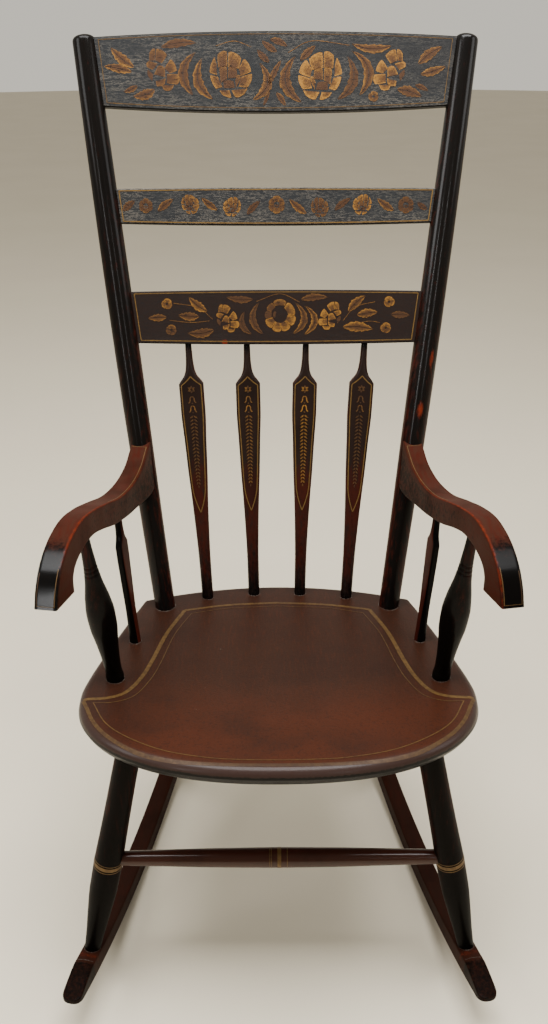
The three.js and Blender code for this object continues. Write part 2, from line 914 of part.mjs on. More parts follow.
const rockers = {};
for (const [name, side] of Object.entries(bothSides)) {
  const mesh = meshOf(`${name}_rocker`, rockerGeometry(), "redBrown");
  mesh.position.set(side * rockerHalfSpreadAt(rocker.contactBack), rocker.contactBack, 0);
  mesh.rotation.z = side * Math.atan(rocker.toeShare);
  chair.add(mesh);
  rockers[name] = mesh;
}

// Legs and stretchers

function legLine(place, side) {
  const { headHalfSpread, headBack, footBack } = place;
  const head = vector(side * headHalfSpread, headBack, seatUndersideAt(headBack));
  const foot = vector(side * rockerHalfSpreadAt(footBack), footBack, rockerTopAt(footBack));
  return { head, foot, length: head.distanceTo(foot) };
}

const stretcherEnds = {
  headTenonRadius: stretcher.tenonRadius,
  headTenonDepth: stretcher.tenonDepth,
  headLetIn: stretcher.letIn,
  footTenonRadius: stretcher.tenonRadius,
  footTenonDepth: stretcher.tenonDepth,
  footLetIn: stretcher.letIn,
};

for (const [end, place] of Object.entries(legPlaces)) {
  const pair = Object.entries(bothSides).map(([name, side]) => {
    const { head, foot, length } = legLine(place, side);
    const make = (grow) =>
      turned(length, leg.swellRadius, legRadiusShares, leg, sidesOf.leg, grow);
    const carriers = [plank, rockers[name]];
    const mesh = stand(`${end}_${name}_leg`, make, "black", head, foot, forwards, carriers);
    return { mesh, axis: head.clone().lerp(foot, stretcher.heightShare) };
  });
  const [left, right] = pair.map(({ axis }) => axis);
  const legRadius = leg.swellRadius * shareAt(legRadiusShares, stretcher.heightShare);
  const inset = legRadius / left.distanceTo(right);
  const [from, to] = [left.clone().lerp(right, inset), right.clone().lerp(left, inset)];
  const span = from.distanceTo(to);
  const make = (grow) => {
    const { middleRadius } = stretcher;
    const sides = sidesOf.stretcher;
    return turned(span, middleRadius, stretcherRadiusShares, stretcherEnds, sides, grow);
  };
  const carriers = pair.map(({ mesh }) => mesh);
  stand(`${end}_stretcher`, make, "redBrown", from, to, forwards, carriers);
}

// The origin goes to the floor under the middle of the whole chair
const footprint = new THREE.Box3().setFromObject(chair);
chair.position.y = -(footprint.min.y + footprint.max.y) / 2;

export default chair;
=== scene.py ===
"""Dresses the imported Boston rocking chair: smooth turned, bent and sawn pieces, old paint over
red, bronze-powder stencils and ochre striping, on a plain floor in soft studio light.

Everything is worked out in metres in the chair's own frame (x across, y back from the seat's
front edge, z up from the floor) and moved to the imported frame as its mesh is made.
"""

import math

import bpy
import numpy as np
from bpy.props import FloatProperty, FloatVectorProperty, PointerProperty
from bpy.types import Operator, Panel, PropertyGroup
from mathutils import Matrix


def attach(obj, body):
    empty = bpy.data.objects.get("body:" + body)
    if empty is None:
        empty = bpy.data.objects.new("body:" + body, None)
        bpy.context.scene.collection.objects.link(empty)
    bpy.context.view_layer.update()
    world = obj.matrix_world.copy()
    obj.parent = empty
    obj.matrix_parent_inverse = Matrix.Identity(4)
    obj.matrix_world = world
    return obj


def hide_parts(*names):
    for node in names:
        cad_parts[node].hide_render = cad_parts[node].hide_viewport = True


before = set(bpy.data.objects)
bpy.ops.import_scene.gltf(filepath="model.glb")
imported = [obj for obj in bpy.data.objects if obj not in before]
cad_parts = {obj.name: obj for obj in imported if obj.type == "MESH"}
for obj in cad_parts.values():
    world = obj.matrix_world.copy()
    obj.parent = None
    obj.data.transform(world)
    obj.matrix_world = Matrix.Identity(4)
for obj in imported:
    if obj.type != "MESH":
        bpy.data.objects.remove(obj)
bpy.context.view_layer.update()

bl_info = {
    "name": "Boston Rocking Chair",
    "version": (1, 0, 0),
    "blender": (4, 5, 0),
    "location": "3D View > Sidebar > Rocking Chair",
    "description": "Makes a painted and stencilled Boston rocking chair on its packed frame",
    "category": "Add Mesh",
}

MM = 0.001
BODY = "root"
# Distance from the seat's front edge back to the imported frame's origin
ORIGIN_BACK = 350.59 * MM
UP = np.array([0.0, 0.0, 1.0])
FORWARDS = np.array([0.0, -1.0, 0.0])
SIDES = {"left": -1, "right": 1}
# How far a piece runs on inside the one that carries it
TUCK = 4 * MM
# The two edges and the middle of a strip, as shares of its width
STRIP = np.array([-0.5, 0, 0.5])

# Where pieces stand, in millimetres. Back posts: foot and head, each across and back
POST_FOOT = (163.5, 383)
POST_HEAD = (249.7, 586)
# Back spindles of one side, outer first: head across, foot across and foot back
SPINDLES = ((122, 102.7, 411), (41, 34.3, 422.5))
# What holds an arm up: its head's reach along the arm, and its foot across and back
ARM_POST = (264, 209, 190)
ARM_SPINDLE = (136, 195, 284)
# Legs: head across, head back and foot back
LEGS = {"front": (181, 71, 52), "rear": (142, 352, 427)}
# Radii of the round feet on the seat, in millimetres
SPINDLE_ROUND = 8.2
ARM_SPINDLE_ROUND = 7.7
ARM_POST_ROUND = 11.4
# Share of a leg's length at which its stretcher enters it
STRETCHER_SHARE = 0.508
# Thickness of a film of paint, and depth and reach of a scored groove
PAINT_FILM = 0.1 * MM
GROOVE_DEPTH = 0.55 * MM
GROOVE_REACH = 0.9 * MM

# Shapes: each row is a place along the piece and the share of its size there

POST_RADII = (
    (0, 0.84), (0.1, 0.87), (0.22, 0.92), (0.36, 0.98), (0.48, 1),
    (0.62, 0.99), (0.76, 0.96), (0.88, 0.92), (0.97, 0.885), (1, 0.875),
)
LEG_RADII = (
    (0, 0.84), (0.2, 0.88), (0.38, 0.94), (0.53, 1), (0.66, 0.98), (0.78, 0.85), (0.9, 0.68),
    (1, 0.575),
)
ARM_POST_RADII = (
    (0, 0.34), (0.17, 0.44), (0.3, 0.6), (0.42, 0.87), (0.52, 1), (0.61, 0.97), (0.72, 0.8),
    (0.84, 0.65), (0.93, 0.6), (0.975, 0.66), (1, 0.65),
)
STRETCHER_RADII = (
    (0, 0.73), (0.14, 0.82), (0.32, 0.95), (0.5, 1), (0.68, 0.95), (0.86, 0.82), (1, 0.73),
)
PLUG_RADII = ((0, 0.72), (0.03, 0.95), (0.07, 1), (1, 1))
# Arrow spindles: along the neck or the blade, the share of the extra width, and of the flatness
NECK_WIDTHS = ((0, 0), (0.38, 0.03), (0.65, 0.14), (0.8, 0.36), (0.91, 0.72), (1, 1))
NECK_FLATNESS = ((0, 0), (0.38, 0.1), (0.65, 0.5), (0.8, 0.85), (0.91, 1), (1, 1))
BLADE_WIDTHS = (
    (0, 1), (0.12, 1), (0.26, 0.84), (0.4, 0.68), (0.53, 0.46), (0.66, 0.27), (0.82, 0.09), (1, 0),
)
BLADE_FLATNESS = ((0, 1), (0.4, 1), (0.53, 0.9), (0.66, 0.7), (0.82, 0.3), (1, 0))
# Arm's outline: reach and rise
ARM_TOP = (
    (-0.008, 0.735), (0.06, 0.64), (0.14, 0.54), (0.25, 0.51), (0.385, 0.59), (0.525, 0.775),
    (0.64, 0.92), (0.74, 1), (0.82, 0.985), (0.885, 0.91), (0.94, 0.77), (0.975, 0.6),
    (0.995, 0.42),
)
ARM_UNDERSIDE = (
    (0.004, 0.36), (0.012, 0.17), (0.05, 0.06), (0.12, 0.05), (0.25, 0.13), (0.355, 0.225),
    (0.47, 0.36), (0.575, 0.525), (0.66, 0.635), (0.745, 0.66), (0.815, 0.61), (0.848, 0.5),
    (0.852, 0.32),
)
# Seat's edge: drop from the top as a share of the thickness, and share of the undercut
SEAT_UNDERCUTS = ((0.35, 0), (0.6, 0.2), (0.85, 0.6), (1, 1))
# Seat's rolled rim: share of the roll's width, and of its drop. Its edge stands at a share too
SEAT_ROLL = ((0, 1.6), (0.12, 1), (0.4, 0.4), (0.72, 0.1), (1, 0))
ROLL_EDGE = 0.12

# Slats, in millimetres: share of the posts' height at the top edge, depth at the posts, arch of
# the top, belly of the bottom and thickness
SLATS = {
    "lower_slat": (0.568, 68, 2.5, 3.5, 13),
    "middle_slat": (0.746, 44, 3.5, 2, 11),
    "crest_rail": (0.997, 84, 12, 5, 14),
}

# How far each slat's ground has crackled
AGES = {"lower_slat": 0.15, "middle_slat": 1.25, "crest_rail": 1}

# Stencilled leaves, in millimetres from the middle of the slat: base, tip, width, bend, strength
CREST_LEAVES = (
    (-185, 7, -214, 30, 12, 2, 0.9),
    (-188, 1, -224, 7, 10, -1, 0.8),
    (-181, -16, -199, -24, 7, 1, 0.6),
    (-159, -20, -187, -29, 12, 3, 0.7),
    (-149, 32, -103, 38, 10, 3, 0.5),
    (-109, -26, -104, 27, 12, 15, 0.6),
    (-83, -31, -96, 20, 12, 13, 0.8),
    (-8, 15, -24, 31, 8, 1, 0.4),
    (2, 28, -18, 42, 8, 1, 0.5),
    (-7, 43, 16, 34, 8, 2, 0.5),
    (-30, -32, -21, 14, 12, -15, 0.75),
    (-9, -14, 8, 18, 7, 1, 0.6),
    (-16, -39, -7, -20, 4, 0, 0.5),
    (1, -23, 13, -40, 7, 1, 0.6),
    (34, -35, 27, 23, 14, 18, 0.6),
    (33, 17, 53, 35, 9, 1, 0.6),
    (82, -32, 94, 22, 12, -15, 0.5),
    (111, -27, 100, 28, 12, -17, 0.75),
    (151, 33, 100, 37, 10, 5, 0.8),
    (160, -21, 192, -31, 12, 2, 0.6),
    (183, -16, 200, -24, 6, 1, 0.5),
    (187, 10, 217, 30, 12, 2, 0.7),
    (190, -3, 222, 6, 10, -1, 0.8),
)
MIDDLE_LEAVES = (
    (-204, -6, -188, 7, 9, 1, 0.5),
    (-158, -6, -137, 10, 9, 1, 0.7),
    (-79, -4, -100, 12, 8, 1, 0.8),
    (-39, -10, -21, 8, 8, 1, 0.4),
    (41, -9, 18, 10, 9, 1, 0.8),
    (79, -5, 101, 11, 8, 1, 0.4),
    (158, -6, 136, 10, 9, 1, 0.8),
    (202, -5, 189, 5, 7, 1, 0.35),
)
LOWER_LEAVES = (
    (-95, 8, -119, 27, 11, 2, 1),
    (-106, 1, -134, 3, 11, 1, 0.7),
    (-150, 0, -175, -1, 9, 0, 0.75),
    (-86, -17, -122, -21, 12, 3, 0.6),
    (-32, 24, -68, 27, 9, 2, 0.5),
    (-34, -23, -43, 8, 8, 9, 0.45),
    (-18, -23, -23, 20, 9, 12, 0.55),
    (23, -23, 26, 19, 9, -14, 0.8),
    (39, -24, 39, 15, 9, -14, 0.95),
    (34, 23, 71, 26, 9, 2, 0.6),
    (99, 7, 122, 28, 11, 2, 0.9),
    (111, 2, 139, 6, 11, 1, 0.9),
    (92, -14, 133, -17, 13, 2, 1),
    (157, 3, 182, 2, 9, 0, 0.5),
)
# Flowers: middle, radius, way round, kind and strength
CREST_FLOWERS = (
    (-148, 4, 20.5, -1, "pair", 0.5),
    (-59, -1, 27.5, -1, "rose", 0.66),
    (59, -3, 28.4, 1, "rose", 1),
    (150, 3, 20, 1, "pair", 0.85),
    (129, -29, 6.8, 1, "berry", 0.6),
)
MIDDLE_FLOWERS = (
    (-174, 1, 9.5, 1, "small", 0.4),
    (-115, 3, 12, -1, "rose", 0.75),
    (-59, 0, 12, 1, "rose", 0.85),
    (1, 3, 11.4, 1, "small", 0.5),
    (59, -1, 12, -1, "rose", 0.5),
    (116, 2, 12.5, 1, "rose", 0.9),
    (174, 1, 10.7, -1, "small", 0.35),
)
LOWER_FLOWERS = (
    (5, 2, 21.5, 1, "open", 0.8),
    (-67, -2, 15, -1, "pair", 0.85),
    (74, 1, 15, 1, "pair", 1),
    (-149, 18, 7.4, 1, "berry", 0.8),
    (-144, -17, 7.4, 1, "berry", 0.5),
    (154, 20, 7.4, -1, "berry", 0.85),
    (150, -15, 7.4, 1, "berry", 0.75),
)
# Petals of each kind of flower, in shares of its radius. Fans: from and to angle in degrees, inner
# and outer radius, strength. Drawn petals: both ends of the inner edge and of the outer edge
# (inner left, outer left, outer right, inner right), strength
PETALS = {
    "rose": (
        (-0.36, 0.31, -0.52, 0.74, 0.09, 1.02, 0.1, 0.38, 0.85),
        (0.17, 0.4, 0.17, 1.03, 0.62, 0.88, 0.58, 0.36, 0.7),
        (0.68, 0.46, 0.76, 0.8, 1, 0.1, 0.66, 0.02, 0.85),
        (0.62, -0.1, 0.97, -0.02, 0.7, -0.62, 0.42, -0.52, 1),
        (0.52, -0.72, 0.4, -0.9, -0.02, -1.02, 0.08, -0.7, 1),
        (-0.06, -0.7, -0.22, -1, -0.64, -0.86, -0.78, -0.62, 1),
        (-0.4, -0.5, -0.8, -0.56, -1, 0.06, -0.5, -0.1, 0.9),
        (-0.48, -0.02, -0.97, 0.14, -0.64, 0.72, -0.4, 0.3, 0.9),
        (-0.3, -0.1, -0.28, 0.26, 0.1, 0.33, 0.11, -0.14, 0.5),
        (0.18, -0.16, 0.18, 0.32, 0.54, 0.26, 0.46, -0.34, 0.55),
        (-0.26, -0.56, -0.46, -0.16, -0.34, 0, -0.22, -0.26, 0.7),
        (-0.18, -0.58, -0.12, -0.28, 0.34, -0.3, 0.32, -0.58, 0.25),
    ),
    "pair": (
        (0.04, 0.43, -0.3, 0.9, 0.36, 1.26, 0.43, 0.6, 0.8),
        (0.5, 0.6, 0.43, 1.26, 0.8, 1.03, 0.81, 0.56, 0.8),
        (0.32, 0.38, 0.84, 0.53, 0.99, 0.18, 0.62, 0.02, 0.9),
        (-0.47, -0.17, -0.9, -0.02, -0.52, 0.66, -0.15, 0.13, 1),
        (-0.28, -0.77, -0.92, -0.85, -0.98, -0.24, -0.3, -0.25, 1),
        (0.06, -0.92, -0.08, -1.2, -0.55, -1.18, -0.7, -0.9, 1),
        (0.42, -0.68, 0.38, -0.98, -0.13, -0.84, -0.17, -0.5, 0.9),
        (-0.15, -0.4, -0.15, 0.1, 0.27, 0.23, 0.52, -0.26, 0.8),
        (0.6, -0.28, 0.9, 0, 0.92, -0.38, 0.67, -0.66, 0.3),
    ),
    "small": (
        (60, 118, 0.35, 1, 1), (122, 184, 0.35, 0.95, 0.9), (188, 238, 0.35, 1, 0.8),
        (242, 298, 0.38, 1.02, 1), (302, 352, 0.35, 1, 0.8), (-4, 56, 0.35, 0.95, 0.9),
        (180, 360, 0.02, 0.24, 0.6),
    ),
    "open": (
        (64, 116, 0.68, 1, 0.7), (120, 158, 0.6, 0.95, 0.5), (162, 192, 0.55, 0.95, 0.3),
        (196, 236, 0.5, 1, 0.9), (240, 274, 0.5, 1.03, 1), (278, 314, 0.5, 1.03, 1),
        (318, 358, 0.5, 1.03, 1), (2, 58, 0.56, 1, 0.9), (140, 200, 0.3, 0.44, 0.2),
    ),
    "berry": ((15, 130, 0.28, 1, 1), (134, 250, 0.28, 1, 0.8), (254, 371, 0.28, 1, 0.7)),
}
# Stems and thin arcs as bends through three places
CREST_ARCS = (((17, 27), (48, 41), (97, 35)), ((-78, 35), (-54, 41), (-32, 34)))
LOWER_ARCS = (
    ((-87, -3), (-107, 13), (-140, 19)),
    ((-92, -5), (-117, -7), (-146, -4)),
    ((92, -5), (108, 13), (135, 20)),
    ((115, -8), (129, -6), (142, -8)),
    ((-27, 21), (5, 31), (32, 20)),
)

# Striping of the seat's right half, in millimetres across and back, with its strength at both
# ends. Each row begins and ends at a corner of the stripe
SEAT_LINES = (
    (4.6, 0.42, 0.5, ((0, 395), (70, 388), (134, 371))),
    (
        5.4, 0.5, 0.58,
        ((134, 371), (154, 305), (167, 232), (176, 193), (190, 161), (210, 147), (243, 143)),
    ),
    (
        4.4, 0.48, 0.25,
        (
            (243, 143), (236, 127), (222, 95), (200, 66), (166, 39), (131, 24), (98, 17),
            (50, 12.5), (0, 11.5),
        ),
    ),
    (1, 0.35, 0.4, ((0, 386), (70, 379), (124, 362))),
    (
        1.2, 0.35, 0.45,
        ((124, 362), (143, 303), (155, 229), (164, 188), (180, 151), (204, 137), (229, 136)),
    ),
    (1.3, 0.6, 0.42, ((229, 136), (208, 94), (178, 65), (133, 39), (81, 25), (40, 21), (0, 20))),
)


def length(name, millimetres, description):
    """A length property with its default in millimetres."""
    return FloatProperty(
        name=name,
        description=description,
        default=millimetres * MM,
        min=0,
        unit="LENGTH",
        subtype="DISTANCE",
    )


def angle(name, degrees, description):
    """An angle property with its default in degrees."""
    return FloatProperty(
        name=name,
        description=description,
        default=math.radians(degrees),
        unit="ROTATION",
        subtype="ANGLE",
    )


def linear(hex_colour):
    """Linear red, green and blue of an sRGB hex colour, by the sRGB curve."""
    srgb = np.array([int(hex_colour[i : i + 2], 16) for i in (1, 3, 5)]) / 255
    bright = ((srgb + 0.055) / 1.055) ** 2.4
    return tuple(float(c) for c in np.where(srgb <= 0.04045, srgb / 12.92, bright))


def colour(name, hex_colour, description):
    """A colour property with its default as sRGB hex."""
    return FloatVectorProperty(
        name=name,
        description=description,
        default=linear(hex_colour),
        min=0,
        max=1,
        size=3,
        subtype="COLOR",
    )


class ChairSizes(PropertyGroup):
    """Sizes of the chair's wooden pieces."""

    seat_half_width: length("Seat half width", 250, "Half the seat's width at its widest")
    seat_depth: length("Seat depth", 447, "Seat from front to back along its slope")
    seat_thickness: length("Seat thickness", 36, "Thickness of the plank")
    seat_height: length("Seat height", 398, "Top of the seat's front edge above the floor")
    seat_tilt: angle("Seat tilt", 4.2, "Slope of the seat down towards the back")
    post_radius: length("Post radius", 17.2, "Radius of a back post at its belly")
    post_height: length("Post height", 720, "Top of the back posts above the seat's front edge")
    post_bend: length("Post bend", 10.5, "How far the back posts bend forwards")
    slat_bow: length("Slat bow", 16, "How far the slats bow back between the posts")
    spindle_half_width: length("Spindle half width", 17.1, "Half width of a back spindle's blade")
    arm_thickness: length("Arm thickness", 25.5, "Thickness of the board of an arm")
    leg_radius: length("Leg radius", 18, "Radius of a leg at its swell")
    stretcher_radius: length("Stretcher radius", 12.3, "Radius of a stretcher at its middle")
    rocker_radius: length("Rocker radius", 1070, "Radius of the rockers' curve")
    rocker_depth: length("Rocker depth", 25, "Height of a rocker's section")
    rocker_width: length("Rocker width", 25.5, "Width of a rocker's section")
    film: length("Paint film", 0.15, "Height of a stencil or stripe above the paint below it")


class ChairPaints(PropertyGroup):
    """Colours of the chair's paints."""

    black: colour("Black paint", "#0e0b09", "Black-brown oil paint of the turned pieces")
    under: colour("Red undercoat", "#3c150d", "Red first coat that shows through the black")
    rubbed: colour("Rubbed red", "#702713", "Bright red where hands have rubbed the paint")
    slat: colour("Slat ground", "#2a2b2c", "Blue-black ground of the aged crest rail")
    slat_brown: colour("Slat brown", "#241a16", "Brown-black ground of the slats below it")
    red_brown: colour("Red-brown paint", "#381f16", "Paint of the arms, rockers and stretchers")
    seat: colour("Seat paint", "#2d1910", "Red-brown paint of the seat")
    seat_warm: colour("Warm seat paint", "#3e1e11", "Paint of the seat towards its front edge")
    seat_cloud: colour("Seat cloud", "#241510", "Darker clouds on the seat")
    # Lighter than the seat's paint partly as a painted highlight on the rolled rim
    rim: colour("Seat rim", "#33241f", "Dusty purple-brown paint of the seat's rolled rim")
    bronze: colour("Bronze powder", "#96692a", "Bright bronze of the stencils")
    bronze_dull: colour("Dull bronze", "#47301f", "Bronze powder where it was shaded or has worn")
    stripe: colour("Striping", "#6e5328", "Ochre striping paint")
    # On the slats' top arris this colour is also a painted highlight
    dust: colour("Dust", "#6a645b", "Dust in cracks, on rubbed arrises and round feet")
    floor: colour("Floor", "#efe3ca", "Plain pale floor")


class StageSettings(PropertyGroup):
    """Camera and light."""

    camera_place: FloatVectorProperty(
        name="Camera place",
        description="Where the camera stands in the packed frame",
        default=(-0.00919, -1.20482, 1.16357),
        size=3,
        subtype="TRANSLATION",
        unit="LENGTH",
    )
    camera_pitch: angle("Camera pitch", 27.33, "How far the camera looks down")
    camera_yaw: angle("Camera yaw", 0.298, "How far the camera looks to the right")
    camera_roll: angle("Camera roll", 0.127, "How far the camera is turned about its own axis")
    light: FloatProperty(
        name="Light", description="Strength of the whole studio light", default=1, min=0
    )


# Curves and frames


def unit(vectors):
    """Each vector divided by its length."""
    return vectors / np.linalg.norm(vectors, axis=-1, keepdims=True)


def smooth(table, at):
    """Value at each place in a table of (place, value): cubic pieces whose slope at a row is the
    harmonic mean of the slopes on its two sides, or level where they differ in sign."""
    places, values = np.array(table, float).T
    steps = np.diff(places)
    slopes = np.diff(values) / steps
    product = slopes[:-1] * slopes[1:]
    total = slopes[:-1] + slopes[1:]
    level = product <= 0
    inner = np.where(level, 0, 2 * product / np.where(level, 1, total))
    slope = np.concatenate([slopes[:1], inner, slopes[-1:]])
    at = np.clip(at, places[0], places[-1])
    i = np.clip(np.searchsorted(places, at, side="right") - 1, 0, len(steps) - 1)
    t = (at - places[i]) / steps[i]
    rise = values[i] * (1 + 2 * t) * (1 - t) ** 2 + values[i + 1] * t**2 * (3 - 2 * t)
    lean = slope[i] * t * (1 - t) ** 2 - slope[i + 1] * t**2 * (1 - t)
    return rise + steps[i] * lean


def through(points, count):
    """Catmull-Rom curve through the points, at evenly spaced parameters."""
    points = np.array(points, float)
    padded = np.concatenate([2 * points[:1] - points[1:2], points, 2 * points[-1:] - points[-2:-1]])
    at = np.linspace(0, len(points) - 1, count)
    i = np.minimum(at.astype(int), len(points) - 2)
    t = (at - i)[:, None]
    a, b, c, d = (padded[i + k] for k in range(4))
    cubic = -a + 3 * b - 3 * c + d
    square = 2 * a - 5 * b + 4 * c - d
    return 0.5 * (2 * b + (c - a) * t + square * t**2 + cubic * t**3)


def evenly(points, step):
    """The polyline's points moved to equal distances, about one step apart."""
    distance = np.concatenate([[0], np.cumsum(np.linalg.norm(np.diff(points, axis=0), axis=1))])
    at = np.linspace(0, distance[-1], max(2, int(distance[-1] / step)) + 1)
    return np.stack([np.interp(at, distance, column) for column in points.T], 1)


def bezier(start, swing, end, at):
    """Point of a quadratic Bezier curve: start, swing and end weighted by (1-t)^2, 2t(1-t), t^2."""
    t = np.asarray(at, float)[..., None]
    return start * (1 - t) ** 2 + 2 * swing * t * (1 - t) + end * t**2


def axes(head, foot, facing):
    """A straight piece's own axes as rows: across, along from head to foot, and out."""
    along = unit(foot - head)
    across = unit(np.cross(along, facing))
    return np.stack([across, along, np.cross(across, along)])


def turns(count):
    """Angles round a full turn, in even steps from nought."""
    return np.linspace(0, 2 * np.pi, count, endpoint=False)


def leaned_back(y, z, slope):
    """Turns places in the y and z plane by a slope, so that what stood upright leans back."""
    return y * math.cos(slope) + z * math.sin(slope), z * math.cos(slope) - y * math.sin(slope)


def bell(distance, reach):
    """A bell over a distance: e to the power of minus its square over the reach's square."""
    return np.exp(-((distance / reach) ** 2))


def spread_out(first, second):
    """A patch of places from two parameters, one down its rows and one along them."""
    return np.stack(np.broadcast_arrays(first, second), -1)


def square_to(path):
    """Unit vectors square to a path of places, at each of them."""
    run = unit(np.gradient(path, axis=0))
    return np.stack([-run[:, 1], run[:, 0]], 1)


def corner_section(half_height, half_width, rounding, flats=5, corners=5):
    """Rounded rectangle for each ring: the straight sides run to the half sizes less the
    rounding, and a quarter circle of that radius joins them. Returns height and width columns,
    and how near each point lies to a corner."""
    quarter = np.linspace(0, np.pi / 2, corners)
    run = np.linspace(-1, 1, flats + 2)[1:-1]
    still = np.ones(flats)
    parts = []
    for k, (up, out) in enumerate(((1, 1), (-1, 1), (-1, -1), (1, -1))):
        turn = np.pi / 2 * k
        # Up and out of the section's outline, going from the top round by the outer face
        high = np.cos(quarter + turn)
        wide = np.sin(quarter + turn)
        parts.append(np.stack([np.full(corners, up), np.full(corners, out), high, wide], 1))
        if k % 2 == 0:
            parts.append(np.stack([-up * run, out * still, 0 * run, out * still], 1))
        else:
            parts.append(np.stack([up * still, -out * run, up * still, 0 * run], 1))
    up, out, high, wide = np.concatenate(parts).T
    rows_high = up * (half_height - rounding)[:, None] + high * rounding
    rows_wide = out * (half_width - rounding)[:, None] + wide * rounding
    short_high = half_height[:, None] - np.abs(rows_high)
    short_wide = half_width[:, None] - np.abs(rows_wide)
    return rows_high, rows_wide, np.exp(-(short_high + short_wide) / (3 * MM))


# Meshes


class Body:
    """Closed lofted bodies that together make one mesh, with values kept for each point."""

    def __init__(self):
        self.points = []
        self.quads = []
        self.triangles = []
        self.values = {}
        self.count = 0

    def loft(self, rings, **values):
        """Joins rings of equally many points by quads, and closes each end with a fan to the
        ring's mean point. The faces are turned round if the signed volume is negative."""
        rows, columns, _ = rings.shape
        points = np.concatenate([rings.reshape(-1, 3), rings[[0, -1]].mean(1)])
        row = np.arange(rows - 1)[:, None] * columns
        here = np.arange(columns)
        after = (here + 1) % columns
        corners = row + here, row + after, row + after + columns, row + here + columns
        quads = np.stack(corners, -1).reshape(-1, 4)
        last = (rows - 1) * columns
        first_pole = np.full(columns, rows * columns)
        first_fan = np.stack([first_pole, after, here], 1)
        last_fan = np.stack([first_pole + 1, last + here, last + after], 1)
        triangles = np.concatenate([first_fan, last_fan])
        halves = np.concatenate([triangles, quads[:, :3], quads[:, [0, 2, 3]]])
        a, b, c = (points[halves[:, k]] for k in range(3))
        if np.einsum("ij,ij->", a, np.cross(b, c)) < 0:
            quads = quads[:, ::-1]
            triangles = triangles[:, ::-1]
        for name, value in values.items():
            grid = np.broadcast_to(value, (rows, columns))
            ends = grid[[0, -1]].mean(1)
            self.values.setdefault(name, []).append(np.concatenate([grid.ravel(), ends]))
        self.points.append(points)
        self.quads.append(quads + self.count)
        self.triangles.append(triangles + self.count)
        self.count += len(points)
        return self


class Film(Body):
    """Thin closed films of paint that together make one mesh, laid over surfaces at a lift."""

    def __init__(self, lift):
        super().__init__()
        self.lift = lift

    def lay(self, surface, patch, **values):
        """Lays one film: patch holds rows of places on the surface, and the film's two faces lie
        at the lift and a tenth of a millimetre above it."""
        top = surface(patch, self.lift + PAINT_FILM)
        under = surface(patch, self.lift)
        for name, value in values.items():
            value = np.broadcast_to(value, patch.shape[:2])
            values[name] = np.concatenate([value, value[:, ::-1]], 1)
        self.loft(np.concatenate([top, under[:, ::-1]], 1), **values)


def add_object(name, data):
    """Adds an object that carries a mesh, lamp or camera to the scene."""
    made = bpy.data.objects.new(name, data)
    bpy.context.scene.collection.objects.link(made)
    return made


def make_piece(name, body, paint, replaced=None, sharp=40):
    """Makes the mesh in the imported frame, painted with the material of a name, with smooth faces
    and sharp edges past an angle. Where it dresses a node of the solid model, it replaces it."""
    points = np.concatenate(body.points) - [0, ORIGIN_BACK, 0]
    quads = np.concatenate(body.quads)
    triangles = np.concatenate(body.triangles)
    corners = np.concatenate([quads.ravel(), triangles.ravel()])
    starts = [np.arange(len(quads)) * 4, quads.size + np.arange(len(triangles)) * 3]
    starts = np.concatenate(starts)
    mesh = bpy.data.meshes.new(name)
    mesh.vertices.add(len(points))
    mesh.vertices.foreach_set("co", points.ravel().astype(np.float32))
    mesh.loops.add(len(corners))
    mesh.loops.foreach_set("vertex_index", corners.astype(np.int32))
    mesh.polygons.add(len(starts))
    mesh.polygons.foreach_set("loop_start", starts.astype(np.int32))
    for key, arrays in body.values.items():
        layer = mesh.attributes.new(key, "FLOAT", "POINT")
        layer.data.foreach_set("value", np.concatenate(arrays).astype(np.float32))
    mesh.update(calc_edges=True)
    if mesh.validate():
        raise RuntimeError(f"{name} has faulty faces")
    mesh.shade_smooth()
    mesh.set_sharp_from_angle(angle=math.radians(sharp))
    mesh.materials.append(bpy.data.materials[paint])
    piece = add_object(name, mesh)
    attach(piece, BODY)
    if replaced:
        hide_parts(replaced)


# Where the chair's pieces stand


def seat_top_at(sizes, back):
    """Height of the seat's sloping plane at a distance back."""
    return sizes.seat_height - back * math.tan(sizes.seat_tilt)


def on_seat(sizes, side, place):
    """Point on the seat's plane at a place across and back in millimetres, on one side."""
    across, back = np.array(place) * MM
    return np.array([side * across, back, seat_top_at(sizes, back)])


def post_curve(sizes, side):
    """Foot, swing and head of a back post's axis, a quadratic Bezier curve."""
    foot = on_seat(sizes, side, POST_FOOT)
    across, back = np.array(POST_HEAD) * MM
    head = np.array([side * across, back, sizes.seat_height + sizes.post_height])
    swing = (foot + head) / 2 - [0, 2 * sizes.post_bend, 0]
    return foot, swing, head


def post_at(sizes, side, height):
    """Axis point, direction and radius of a post at a height above the floor."""
    foot, swing, head = post_curve(sizes, side)
    share = float(np.clip((height - foot[2]) / (head[2] - foot[2]), 0, 1))
    tangent = unit((swing - foot) * (1 - share) + (head - swing) * share)
    return bezier(foot, swing, head, share), tangent, sizes.post_radius * smooth(POST_RADII, share)


